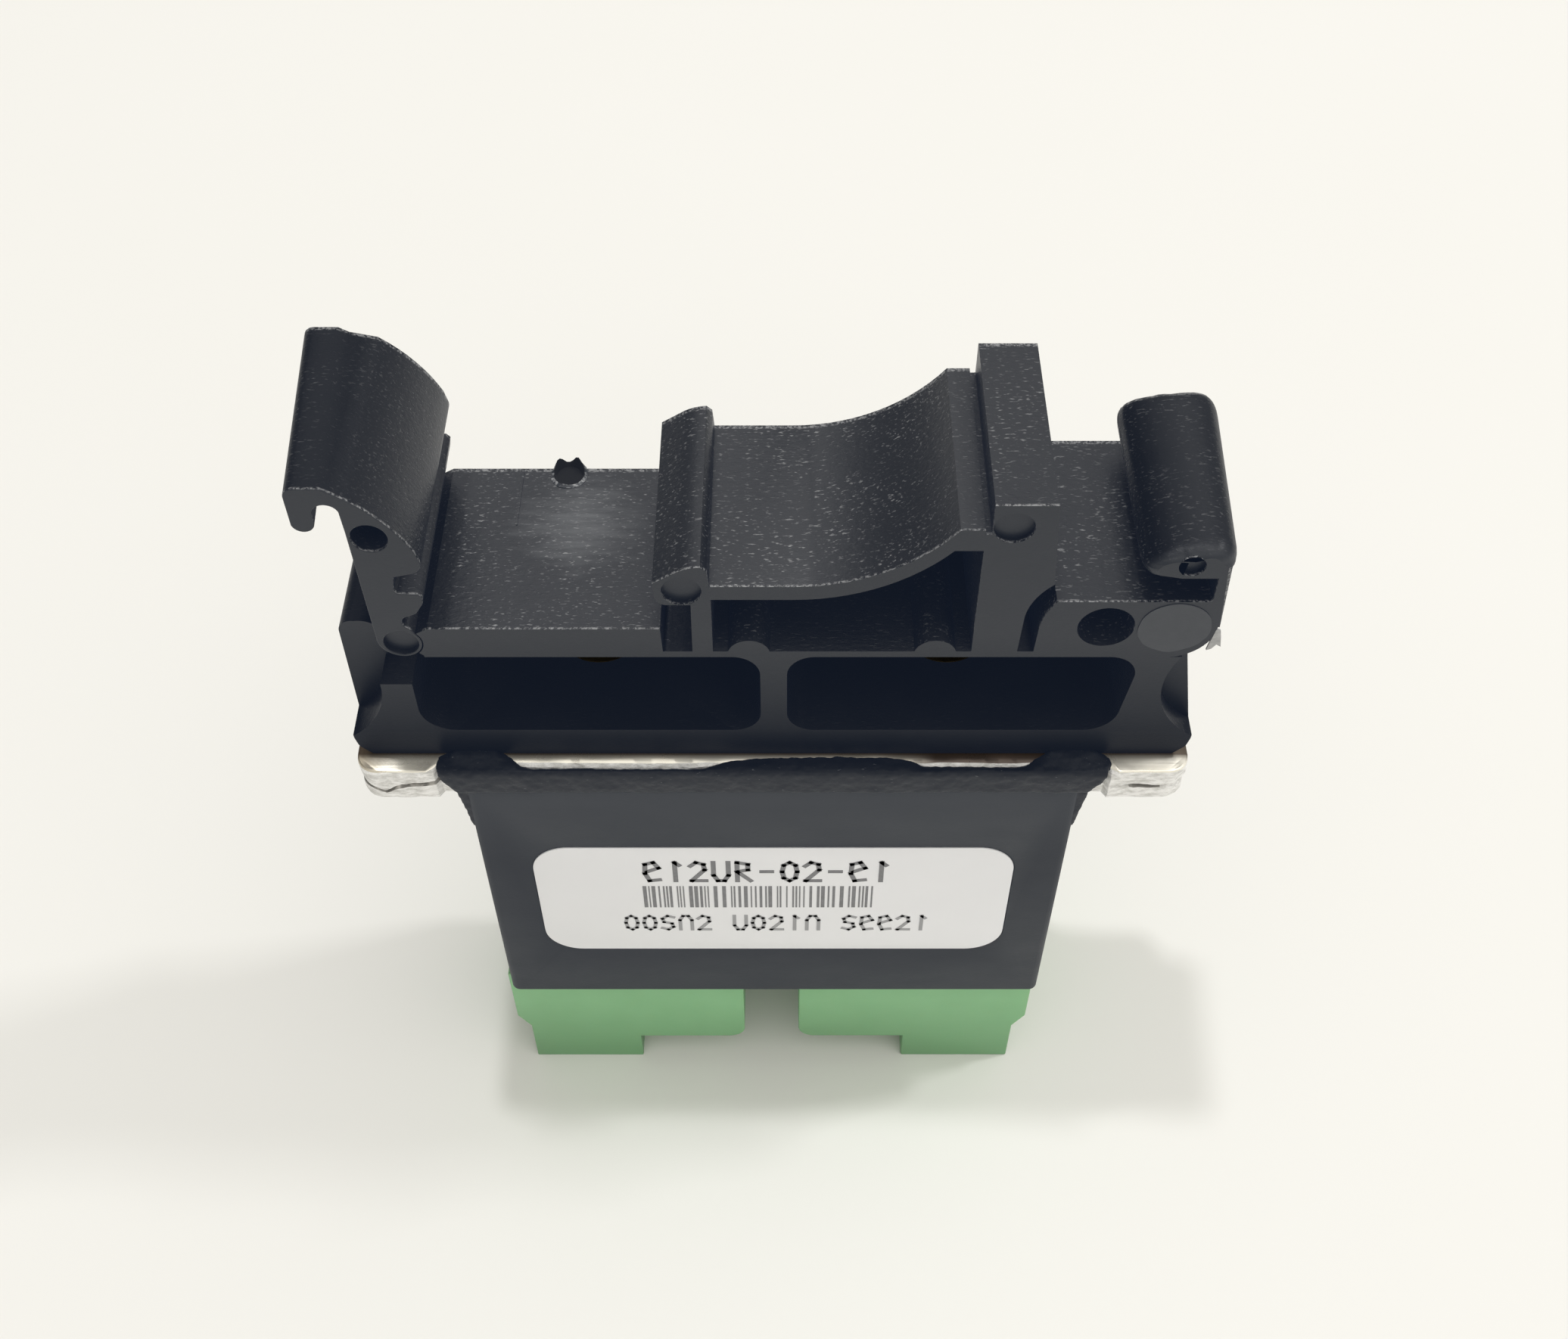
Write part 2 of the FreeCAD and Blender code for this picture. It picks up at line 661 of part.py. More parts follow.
def make_small_parts():
    chip = box("optocoupler_part", -13.2, -6.6, -4.4, 4.4, "board_top", "board_top+3.9")
    finish_node(chip, "optocoupler")
    film = box("snubber_capacitor_part", -3.9, 3.3, -4.8, -0.4, "board_top", "board_top+4.3")
    finish_node(film, "snubber_capacitor")
    finish_node(cylinder("snubber_resistor_part", (12.2, -3.1, "board_top+1.1"), (0, 1, 0), 1.1, 6.2),
                "snubber_resistor")
    finish_node(cylinder("input_resistor_part", (-3.6, 2.8, "board_top+1.1"), (1, 0, 0), 1.1, 6.6),
                "input_resistor")


def make_potting():
    block = box("potting_block", "side_wall-shell_half", "shell_half-side_wall", "front_wall-shell_depth",
                "shell_depth-front_wall", "board_top", "plate_bottom")
    buried = ("power_triac", "insulating_pad", "triac_leads", "optocoupler", "snubber_capacitor",
              "snubber_resistor", "input_resistor", "header_pins_left", "header_pins_right")
    inside = [item for item in nodes if item.Label in buried]
    return finish_node(cut("potting_part", block, *inside), "potting_fill")


# ---------------------------------------------------------------- terminals

class Side:
    """One terminal: names and X places for the left or the right one."""

    def __init__(self, name, sign):
        self.name = name
        self.sign = sign

    def at(self, distance):
        """X of a point at a distance from the middle of the terminals."""
        if self.sign < 0:
            return "shift-" + distance.replace("+", "#").replace("-", "+").replace("#", "-")
        return "shift+" + distance

    def span(self, near, far):
        """Low and high X between two distances."""
        return (self.at(far), self.at(near)) if self.sign < 0 else (self.at(near), self.at(far))

    def outline(self, points):
        """An outline given in distances, mirrored for the left terminal."""
        path = []
        for item in points:
            if isinstance(item[0], tuple):
                path.append(tuple((self.at(x), z) for x, z in item))
            else:
                path.append((self.at(item[0]), item[1]))
        return path


def make_header(side):
    low_x, high_x = side.span("header_in", "header_out")
    block = box(f"header_block_{side.name}", low_x, high_x, "-header_depth", "header_depth",
                "header_low", "board_low")
    low_x, high_x = side.span("header_in+header_wall", "header_out-header_wall")
    cavity = box(f"header_cavity_{side.name}", low_x, high_x, "header_wall-header_depth",
                 "header_depth-header_wall", "header_low-1", "board_low-header_floor")
    holes = []
    pins = []
    x = side.at("pin_x")
    for name, place in POLES.items():
        holes.append(box(f"header_hole_{side.name}_{name}", f"{x}-pin_half-0.02", f"{x}+pin_half+0.02",
                         f"{place}-pin_half-0.02", f"{place}+pin_half+0.02", "board_low-2", "board_low+1"))
        pins.append(box(f"header_pin_{side.name}_{name}", f"{x}-pin_half", f"{x}+pin_half",
                        f"{place}-pin_half", f"{place}+pin_half", "pin_low", "pin_top"))
    finish_node(cut(f"header_{side.name}_part", block, cavity, *holes), f"header_{side.name}")
    finish_node(group(f"header_pin_pair_{side.name}", *pins), f"header_pins_{side.name}")


def make_plug(side):
    name = side.name
    body = new_body(f"plug_{name}_body")
    lower = side.outline([
        ("plug_in", "plug_shoulder"), ("plug_in", "plug_step_up+1"),
        (("plug_in+0.293", "plug_step_up+0.293"), ("plug_in+1", "plug_step_up")),
        ("plug_step", "plug_step_up"), ("plug_step", 0), ("plug_lower", 0), ("plug_lower", 3.8),
        ("plug_out", 5.1), ("plug_out", "plug_shoulder"),
    ])
    view = new_sketch(body, f"plug_view_{name}", "XZ_Plane", "-plug_depth", [lower])
    pad(body, view, "plug_depth+plug_depth")
    nose = side.outline([("nose_in", "plug_shoulder"), ("nose_out", "plug_shoulder"),
                         ("nose_out", "nose_top"), ("nose_in", "nose_top")])
    nose_view = new_sketch(body, f"plug_nose_{name}", "XZ_Plane", "-nose_depth", [nose])
    pad(body, nose_view, "nose_depth+nose_depth")
    bay = side.outline([("entry_in", 0), ("entry_out", 0), ("entry_out", "bay_low"),
                        ("bay_out", "bay_low"), ("bay_out", "bay_top"), ("bay_in", "bay_top"),
                        ("bay_in", "bay_low"), ("entry_in", "bay_low")])
    channel = side.outline([("channel_out", "bay_top"), ("channel_out", "channel_top"),
                            ("socket_out", "channel_top"), ("socket_out", "nose_top"),
                            ("channel_in", "nose_top"), ("channel_in", "bay_top")])
    # an XZ sketch lies at minus its offset, so each cut starts in front of its pole
    for pole, toward_front in (("front", "pole"), ("rear", "-pole")):
        room = new_sketch(body, f"bay_{name}_{pole}", "XZ_Plane", f"{toward_front}+bay_half", [bay])
        pocket(body, room, "bay_half+bay_half")
        start = f"{toward_front}+channel_half"
        slot = new_sketch(body, f"channel_{name}_{pole}", "XZ_Plane", start, [channel])
        pocket(body, slot, "channel_half+channel_half")
    outward = side.sign > 0
    for kind, start, radius, length in (
            ("shank", "bay_out", "thread_radius+0.05", "clamp_head_seat-bay_out"),
            ("head", "clamp_head_seat-0.05", "clamp_head_radius+0.1", "plug_out-clamp_head_seat+0.1")):
        circles = [(place, "clamp_screw_z", radius) for place in POLES.values()]
        bores = new_sketch(body, f"{kind}_bores_{name}", "YZ_Plane", side.at(start), circles=circles)
        pocket(body, bores, length, outward)
    return finish_node(body, f"plug_{name}")


def make_contacts(side):
    """Spring sockets of one plug, each with the bar that the wire is clamped against."""
    contacts = []
    for pole, place in POLES.items():
        tag = f"{side.name}_{pole}"
        low_x, high_x = side.span("channel_in+0.05", "socket_out-0.05")
        socket = box(f"socket_{tag}", low_x, high_x, f"{place}-contact_half", f"{place}+contact_half",
                     "bay_top", "socket_top")
        low_x, high_x = side.span("pin_x-socket_hole", "pin_x+socket_hole")
        hole = box(f"socket_hole_{tag}", low_x, high_x, f"{place}-socket_hole", f"{place}+socket_hole",
                   "channel_top", "socket_top+1")
        low_x, high_x = side.span("socket_out-0.1", "leg_out")
        bar = box(f"contact_bar_{tag}", low_x, high_x, f"{place}-leg_half", f"{place}+leg_half",
                  "bay_top", "bay_top+contact_thick")
        low_x, high_x = side.span("leg_out-contact_thick", "leg_out")
        leg = box(f"contact_leg_{tag}", low_x, high_x, f"{place}-leg_half", f"{place}+leg_half",
                  "leg_low", "bay_top+contact_thick")
        contacts.append(cut(f"contact_{tag}", fuse(f"contact_blank_{tag}", socket, bar, leg), hole))
    return finish_node(group(f"contact_pair_{side.name}", *contacts), f"contacts_{side.name}")


def make_clamp(side, pole, place):
    """Lift cage that the clamping screw pulls outwards."""
    tag = f"{side.name}_{pole}"
    low_x, high_x = side.span("clamp_in", "clamp_out")
    block = box(f"clamp_block_{tag}", low_x, high_x, f"{place}-clamp_half", f"{place}+clamp_half",
                "clamp_low", "clamp_top")
    low_x, high_x = side.span("clamp_in+clamp_wall", "clamp_out-clamp_wall")
    room = box(f"clamp_room_{tag}", low_x, high_x, f"{place}-clamp_half+clamp_cheek",
               f"{place}+clamp_half-clamp_cheek", "clamp_low-1", "clamp_top+1")
    thread = cylinder(f"clamp_thread_{tag}", (side.at("clamp_out-1"), place, "clamp_screw_z"),
                      (side.sign, 0, 0), "thread_radius+thread_gap", 2)
    return finish_node(cut(f"clamp_{tag}_part", block, room, thread), f"wire_clamp_{tag}")


def make_clamp_screw(side, pole, place):
    """Slotted screw that turns in the plug and draws the clamp along its thread."""
    tag = f"{side.name}_{pole}"
    axis = (side.sign, 0, 0)
    shank = cylinder(f"terminal_shank_{tag}", (side.at("clamp_screw_tip"), place, "clamp_screw_z"), axis,
                     "thread_radius", "clamp_head_seat-clamp_screw_tip+0.1")
    head = cylinder(f"terminal_head_{tag}", (side.at("clamp_head_seat"), place, "clamp_screw_z"), axis,
                    "clamp_head_radius", "clamp_head_out-clamp_head_seat")
    low_x, high_x = side.span("clamp_head_out-driver_slot", "clamp_head_out+1")
    slot = box(f"terminal_slot_{tag}", low_x, high_x, f"{place}-2", f"{place}+2",
               "clamp_screw_z-driver_slot/2", "clamp_screw_z+driver_slot/2")
    blank = fuse(f"terminal_blank_{tag}", shank, head)
    return finish_node(cut(f"terminal_screw_{tag}_part", blank, slot), f"terminal_screw_{tag}")


# ---------------------------------------------------------------- all of it

def failed_objects():
    """Objects whose recompute failed, and sub-parts with no sound shape."""
    wrong = [item.Name for item in document.Objects if {"Invalid", "Error"} & set(item.State)]
    for item in nodes:
        shape = item.Shape
        if shape.isNull() or not shape.isValid() or not shape.Solids:
            wrong.append(item.Label)
    return wrong


def export_nodes():
    os.makedirs("parts", exist_ok=True)
    for item in nodes:
        item.Shape.exportStep(os.path.join("parts", item.Label + ".step"))
        print(f"{item.Label:28s} {len(item.Shape.Solids)} solids {item.Shape.Volume:10.2f} mm3")


def main():
    make_sheet()
    make_foot()
    make_latch()
    make_plate()
    make_foot_screws()
    make_foot_inserts()
    make_shell()
    make_label()
    make_seal()
    make_board()
    make_triac()
    make_small_parts()
    for side in (Side("left", -1), Side("right", 1)):
        make_header(side)
        make_plug(side)
        make_contacts(side)
        for pole, place in POLES.items():
            make_clamp(side, pole, place)
            make_clamp_screw(side, pole, place)
    make_potting()
    document.recompute()
    wrong = failed_objects()
    if wrong:
        raise RuntimeError("failed: " + ", ".join(wrong))
    export_nodes()


main()
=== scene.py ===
import json
import math
import random

import bmesh
import bpy
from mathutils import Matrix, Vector, noise


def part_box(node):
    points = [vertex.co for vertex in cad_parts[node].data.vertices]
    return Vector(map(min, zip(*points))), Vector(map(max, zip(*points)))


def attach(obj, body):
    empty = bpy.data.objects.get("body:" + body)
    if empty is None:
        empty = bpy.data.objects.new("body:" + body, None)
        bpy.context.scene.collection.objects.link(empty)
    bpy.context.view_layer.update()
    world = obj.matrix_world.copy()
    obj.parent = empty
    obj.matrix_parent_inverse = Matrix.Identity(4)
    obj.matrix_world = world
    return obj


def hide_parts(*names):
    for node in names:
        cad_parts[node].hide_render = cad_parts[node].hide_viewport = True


# Looks of the solid state relay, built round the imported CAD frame.
# CAD and Blender share one frame: X along the rail foot, -Y is the labelled face, Z up.
# Lengths in this script are millimetres, turned into Blender's metres by MM.

MM = 0.001
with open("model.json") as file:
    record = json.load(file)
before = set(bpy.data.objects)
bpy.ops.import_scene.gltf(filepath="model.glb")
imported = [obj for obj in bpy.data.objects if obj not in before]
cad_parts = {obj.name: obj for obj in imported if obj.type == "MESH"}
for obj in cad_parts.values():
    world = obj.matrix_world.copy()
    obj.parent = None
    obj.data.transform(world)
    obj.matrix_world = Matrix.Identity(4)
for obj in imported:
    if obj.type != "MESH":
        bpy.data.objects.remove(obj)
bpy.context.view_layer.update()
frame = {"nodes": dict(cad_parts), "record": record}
scene = bpy.context.scene


def corners(node):
    """Lowest and highest corner of a CAD node, in millimetres."""
    low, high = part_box(node)
    return low / MM, high / MM


FOOT_LOW, FOOT_HIGH = corners("rail_foot")
PLATE_LOW, PLATE_HIGH = corners("base_plate")
SHELL_LOW, SHELL_HIGH = corners("body_shell")
LABEL_LOW, LABEL_HIGH = corners("label")
SEAL_LOW, SEAL_HIGH = corners("resin_seal")


# ---------------------------------------------------------------- node materials

class Paint:
    """Short forms for building one node material.  Texture space is in millimetres."""

    def __init__(self, name):
        self.material = bpy.data.materials.new(name)
        self.material.use_nodes = True
        self.tree = self.material.node_tree
        self.shader = self.tree.nodes["Principled BSDF"]
        coordinates = self.add("TexCoord")
        self.normal = coordinates.outputs["Normal"]
        self.place = self.stretched(coordinates.outputs["Object"], (1 / MM, 1 / MM, 1 / MM))
        self.x, self.y, self.z = self.parts(self.place)

    def add(self, kind, inputs=None, **settings):
        node = self.tree.nodes.new("ShaderNode" + kind)
        for key, setting in settings.items():
            setattr(node, key, setting)
        for key, value in (inputs or {}).items():
            self.feed(node.inputs[key], value)
        return node

    def feed(self, socket, value):
        if isinstance(value, bpy.types.NodeSocket):
            self.tree.links.new(value, socket)
        else:
            socket.default_value = value

    def stretched(self, vector, scale):
        return self.add("Mapping", {"Vector": vector, "Scale": scale}).outputs["Vector"]

    def noise(self, per_mm, detail=2.0, roughness=0.5, scale=(1, 1, 1)):
        vector = self.stretched(self.place, scale)
        texture = self.add("TexNoise", {"Vector": vector, "Scale": per_mm, "Detail": detail,
                                        "Roughness": roughness})
        return texture.outputs["Fac"]

    def cells(self, per_mm, scale=(1, 1, 1)):
        """Distance to the nearest point of a random set."""
        vector = self.stretched(self.place, scale)
        return self.add("TexVoronoi", {"Vector": vector, "Scale": per_mm}).outputs["Distance"]

    def spread(self, value, low, high, to_low=0.0, to_high=1.0):
        """Stretch the span low..high of a value over another span, clamped."""
        names = {"Value": value, "From Min": low, "From Max": high, "To Min": to_low, "To Max": to_high}
        return self.add("MapRange", names).outputs["Result"]

    def patch(self, centre, reach):
        """1 at a place in millimetres, falling to 0 at a reach along each axis, with a ragged rim."""
        ragged = self.add("TexNoise", {"Vector": self.stretched(self.place, (0.5, 2, 1)), "Scale": 1.2})
        shift = self.add("VectorMath", operation="SUBTRACT")
        self.feed(shift.inputs[0], self.place)
        self.feed(shift.inputs[1], centre)
        near = self.stretched(shift.outputs["Vector"], tuple(1 / side for side in reach))
        length = self.add("VectorMath", operation="LENGTH")
        self.feed(length.inputs[0], near)
        away = self.calculate("ADD", length.outputs["Value"], self.product(ragged.outputs["Fac"], 0.9))
        return self.spread(away, 0.45, 1.45, 1.0, 0.0)

    def calculate(self, operation, first, second=0.0):
        node = self.add("Math", operation=operation)
        self.feed(node.inputs[0], first)
        self.feed(node.inputs[1], second)
        return node.outputs[0]

    def product(self, first, *others):
        for other in others:
            first = self.calculate("MULTIPLY", first, other)
        return first

    def absolute(self, value):
        return self.calculate("ABSOLUTE", value)

    def parts(self, vector):
        """The X, Y and Z of a vector."""
        split = self.add("SeparateXYZ", {"Vector": vector})
        return split.outputs["X"], split.outputs["Y"], split.outputs["Z"]

    def mix(self, factor, first, second):
        node = self.add("Mix", data_type="RGBA")
        self.feed(node.inputs["Factor"], factor)
        colour_inputs = [socket for socket in node.inputs if socket.type == "RGBA"]
        self.feed(colour_inputs[0], first)
        self.feed(colour_inputs[1], second)
        return [socket for socket in node.outputs if socket.type == "RGBA"][0]

    def bump(self, height, strength, depth, under=None):
        inputs = {"Height": height, "Strength": strength, "Distance": depth * MM}
        if under is not None:
            inputs["Normal"] = under
        return self.add("Bump", inputs).outputs["Normal"]

    def finish(self, **inputs):
        for key, value in inputs.items():
            self.feed(self.shader.inputs[key.replace("_", " ")], value)
        return self.material


def grey(level, blue=1.0):
    """A nearly neutral colour, cooler where blue is above 1."""
    return (level, level * (1 + blue) / 2, level * blue, 1.0)


PAINTED_VEIL_GLOW = (0.0046, 0.0072, 0.0142, 1.0)      # faint blue glow painted into every black moulding, a painted veil of light that lifts the darkest parts


def on_hook(paint):
    """One on the hook of the foot, zero elsewhere."""
    return paint.product(paint.spread(paint.z, 44.5, 44.8), paint.spread(paint.x, 16.2, 16.5))


def painted_rim_glints(paint, eroded):
    """Painted highlights: bright glint dashes along the front and rear rims of the foot's upper faces."""
    rim = paint.spread(paint.absolute(paint.y), FOOT_HIGH.y - 0.26, FOOT_HIGH.y - 0.18)
    dashes = paint.spread(paint.noise(9.0, 2.0, 0.7, (0.7, 0.7, 1)), 0.44, 0.60)
    high = paint.spread(paint.z, 40.90, 40.98)
    return paint.product(rim, eroded, high, dashes)


def shaded_gloss_spots(paint, eroded):
    """Painted shade: dimmer gloss on the latch's outer side and the hook's tip, where these faces lie in
    shade.
    """
    latch = paint.spread(paint.x, -18.5, -16.6, 0.28, 1.15)
    block = paint.spread(paint.x, 8.3, 9.3, 1.0, 0.86)
    hook = paint.spread(paint.x, 16.9, 19.0, 0.08, 0.58)
    above = on_hook(paint)
    right = paint.calculate("ADD", paint.product(hook, above), paint.calculate("SUBTRACT", 1.0, above))
    return paint.spread(eroded, 0.0, 1.0, 1.0, paint.product(latch, block, right))


def nylon_glints(paint, flecks, cloud, eroded):
    """Flecks of bare glass painted light as glints: denser in clouds, none low in the shaded pockets, rare
    on the latch and the hook.
    """
    outside = paint.spread(paint.z, 39.4, 40.6)
    dense = paint.product(paint.spread(cloud, 0.34, 0.62), outside)
    off_latch = paint.spread(paint.x, -15.6, -14.8, 0.25, 1.0)
    off_hook = paint.spread(on_hook(paint), 0.0, 1.0, 1.0, 0.35)
    return paint.product(flecks, dense, eroded, off_latch, off_hook)


def nylon_body(paint, cloud, eroded):
    """Colour of the skin under the flecks: darker towards the base as painted shade, with a painted
    highlight patch in streaks on the left flat.
    """
    dark = paint.mix(cloud, grey(0.003, 1.2), grey(0.008, 1.1))
    plain = paint.mix(paint.noise(1.6, 4.0, 0.6), grey(0.008, 1.3), grey(0.013, 1.25))
    # painted shade: the skin darkens towards the base of the foot
    low = paint.spread(paint.z, 33.2, 41.0, 0.35, 1.0)
    plain = paint.mix(low, grey(0.002, 1.3), plain)
    body = paint.mix(eroded, plain, dark)
    # painted highlight: a bright streaky patch on the left flat
    painted_highlight_patch = paint.patch((-9.0, 1.5, 41.05), (3.4, 3.4, 1.0))
    highlight_streaks = paint.spread(paint.noise(2.2, 3.0, 0.65, (0.25, 1.6, 1)), 0.3, 0.7, 0.45, 1.0)
    return paint.mix(paint.product(painted_highlight_patch, eroded, highlight_streaks), body, grey(0.105, 1.05))


def black_nylon():
    """Glass filled nylon: spark eroded on faces along the foot, flat and matt on the two side faces."""
    paint = Paint("black_nylon_eroded")
    sideways = paint.absolute(paint.parts(paint.normal)[1])
    eroded = paint.spread(sideways, 0.25, 0.75, 1.0, 0.0)
    grain = paint.noise(4.2, 3.0, 0.6, (0.5, 1, 1))
    cloud = paint.noise(0.35, 3.0, 0.55)
    flecks = paint.spread(paint.noise(8.5, 1.5, 0.6, (0.36, 1, 1)), 0.60, 0.74)
    glints = nylon_glints(paint, flecks, cloud, eroded)
    # painted glints lighten the colour
    colour = paint.mix(paint.product(glints, 0.55), nylon_body(paint, cloud, eroded), grey(0.35))
    # painted highlights: glint dashes along the rims lighten the colour
    colour = paint.mix(paint.product(painted_rim_glints(paint, eroded), 0.7), colour, grey(0.30))
    roughness = paint.spread(glints, 0.0, 1.0, 0.40, 0.30)
    # painted shade: gloss weaker towards the base of the foot and on the shaded spots
    gloss = paint.product(paint.spread(paint.z, 33.2, 40.6, 0.10, 0.44), shaded_gloss_spots(paint, eroded))
    fine = paint.bump(paint.noise(7.0, 2.0, 0.5), 0.12, 0.03)
    height = paint.calculate("ADD", grain, paint.product(flecks, 0.5))
    strength = paint.spread(eroded, 0.0, 1.0, 0.04, 0.36)
    rough = paint.bump(height, strength, 0.06, fine)
    return paint.finish(Base_Color=colour, Roughness=roughness, Normal=rough, Specular_IOR_Level=gloss,
                        Emission_Color=PAINTED_VEIL_GLOW, Emission_Strength=1.0)


def glint_dash_nylon():
    """Moulding edge with painted highlights: short bright dashes of glint."""
    paint = Paint("black_nylon_glint_dashes")
    dashes = paint.spread(paint.noise(6.0, 2.0, 0.6, (0.5, 1, 1)), 0.47, 0.66)
    colour = paint.mix(dashes, grey(0.02, 1.2), grey(0.30, 1.02))
    return paint.finish(Base_Color=colour, Roughness=0.42, Normal=paint.bump(dashes, 0.4, 0.04),
                        Emission_Color=PAINTED_VEIL_GLOW, Emission_Strength=1.0)


def dark_pit():
    """Unlit inside of a torn gate."""
    paint = Paint("gate_pit")
    colour = paint.mix(paint.noise(5.0), grey(0.001), grey(0.004))
    return paint.finish(Base_Color=colour, Roughness=0.95, Emission_Color=PAINTED_VEIL_GLOW, Emission_Strength=0.8)


def pin_scar():
    """Flat lighter face left by an ejector pin."""
    paint = Paint("pin_scar")
    colour = paint.mix(paint.noise(1.4, 4.0, 0.6), grey(0.034, 1.1), grey(0.052, 1.1))
    normal = paint.bump(paint.noise(6.0), 0.15, 0.03)
    return paint.finish(Base_Color=colour, Roughness=0.55, Normal=normal, Emission_Color=PAINTED_VEIL_GLOW,
                        Emission_Strength=1.0)


def plate_metal():
    """Rolled face of the plate: warm and bright, dull in one stain and at the left tip, with the foot's
    shadow and reflection painted in beside it.
    """
    paint = Paint("plate_rolled")
    lines = paint.noise(2.0, 4.0, 0.6, (0.12, 4, 4))
    cloud = paint.noise(0.5, 3.0, 0.6)
    dull = paint.product(paint.spread(paint.x, 5.0, 8.0), paint.spread(paint.x, 14.0, 16.0, 1.0, 0.0))
    bright = paint.mix(cloud, (0.86, 0.81, 0.68, 1), (0.93, 0.90, 0.82, 1))
    # darker and browner towards the left tip
    left_tip_darkening = paint.spread(paint.x, -20.2, -18.4, 1.0, 0.0)
    bright = paint.mix(left_tip_darkening, bright, (0.50, 0.44, 0.34, 1))
    colour = paint.mix(dull, bright, (0.09, 0.07, 0.06, 1))
    # painted shadow and dark reflection of the foot along the plate's top next to it
    foot_shadow_and_reflection = paint.spread(paint.absolute(paint.y), 5.12, 5.52, 0.92, 0.0)
    colour = paint.mix(foot_shadow_and_reflection, colour, (0.07, 0.045, 0.03, 1))
    roughness = paint.spread(cloud, 0.3, 0.7, 0.24, 0.36)
    normal = paint.bump(lines, 0.15, 0.03)
    return paint.finish(Base_Color=colour, Metallic=0.7, Roughness=roughness, Normal=normal)


def sheared_metal():
    """Torn edge of the plate: white, matt and rough."""
    paint = Paint("plate_sheared")
    torn = paint.noise(2.6, 4.0, 0.65, (0.6, 0.6, 1.6))
    fine = paint.noise(9.0, 3.0, 0.6)
    colour = paint.mix(paint.spread(torn, 0.35, 0.6), (0.62, 0.61, 0.58, 1), (0.97, 0.96, 0.94, 1))
    normal = paint.bump(torn, 0.8, 0.14, paint.bump(fine, 0.5, 0.05))
    return paint.finish(Base_Color=colour, Metallic=0.12, Roughness=0.62, Normal=normal)


def torn_crack():
    """Shaded crack between the two layers of the sheared edge."""
    paint = Paint("plate_crack")
    broken = paint.spread(paint.noise(1.5, 3.0, 0.6), 0.47, 0.66)
    colour = paint.mix(broken, (0.30, 0.29, 0.27, 1), (0.70, 0.68, 0.64, 1))
    return paint.finish(Base_Color=colour, Metallic=0.1, Roughness=0.7,
                        Normal=paint.bump(paint.noise(5.0, 3.0, 0.6), 0.5, 0.08))


def black_resin():
    """Cast potting compound: near black with uneven gloss and a rough skin; small light specks are painted
    glints.
    """
    paint = Paint("black_resin")
    cloud = paint.noise(1.1, 4.0, 0.6, (0.6, 1, 1))
    resin_glints = paint.spread(paint.noise(6.5, 2.0, 0.6, (0.5, 1, 1)), 0.68, 0.78)
    colour = paint.mix(cloud, grey(0.004, 1.2), grey(0.010, 1.2))
    # painted glints: small light specks in the colour
    colour = paint.mix(paint.product(resin_glints, 0.35), colour, grey(0.22, 1.05))
    roughness = paint.spread(cloud, 0.3, 0.7, 0.38, 0.60)
    normal = paint.bump(paint.noise(4.0, 3.0, 0.6), 0.35, 0.06)
    lying = paint.spread(paint.parts(paint.normal)[2], 0.3, 0.8, 0.36, 0.14)
    return paint.finish(Base_Color=colour, Roughness=roughness, Normal=normal, Specular_IOR_Level=lying,
                        Emission_Color=PAINTED_VEIL_GLOW, Emission_Strength=1.0)


def black_case():
    """Matt case with a fine etched grain and faint rubbed clouds."""
    paint = Paint("black_case")
    cloud = paint.noise(0.28, 4.0, 0.6, (0.6, 1, 1.4))
    grain = paint.noise(6.0, 3.0, 0.6)
    colour = paint.mix(cloud, grey(0.012, 1.3), grey(0.020, 1.2))
    # lighter towards the top of the case
    upper_case_band = paint.spread(paint.z, 24.0, 29.0)
    colour = paint.mix(paint.product(upper_case_band, 0.7), colour, grey(0.044, 1.15))
    roughness = paint.spread(cloud, 0.3, 0.7, 0.50, 0.62)
    return paint.finish(Base_Color=colour, Roughness=roughness, Normal=paint.bump(grain, 0.22, 0.03),
                        Specular_IOR_Level=0.36, Emission_Color=PAINTED_VEIL_GLOW, Emission_Strength=1.0)


def label_paper():
    paint = Paint("label_paper")
    fibre = paint.noise(5.0, 4.0, 0.6)
    colour = paint.mix(paint.noise(0.3, 2.0), (0.81, 0.81, 0.825, 1), (0.85, 0.85, 0.86, 1))
    return paint.finish(Base_Color=colour, Roughness=0.5, Normal=paint.bump(fibre, 0.08, 0.02))


def label_ink():
    paint = Paint("label_ink")
    wear = paint.noise(4.0, 3.0, 0.7)
    small = paint.spread(paint.z, 18.7, 19.2, 1.0, 0.0)
    strong = paint.mix(wear, (0.13, 0.13, 0.14, 1), (0.26, 0.26, 0.27, 1))
    colour = paint.mix(small, strong, (0.34, 0.34, 0.35, 1))
    return paint.finish(Base_Color=colour, Roughness=0.55)


def green_plastic():
    paint = Paint("green_plastic")
    cloud = paint.noise(0.4, 3.0, 0.55)
    grain = paint.noise(5.0, 3.0, 0.6)
    colour = paint.mix(cloud, (0.21, 0.46, 0.22, 1), (0.26, 0.53, 0.27, 1))
    # painted shade: darker towards the bottom, near the desk
    under = paint.spread(paint.z, 1.0, 7.0, 1.0, 0.0)
    colour = paint.mix(paint.product(under, 0.8), colour, (0.14, 0.31, 0.145, 1))
    normal = paint.bump(grain, 0.14, 0.03)
    return paint.finish(Base_Color=colour, Roughness=0.46, Normal=normal, Subsurface_Weight=0.08,
                        Subsurface_Scale=1.2 * MM)


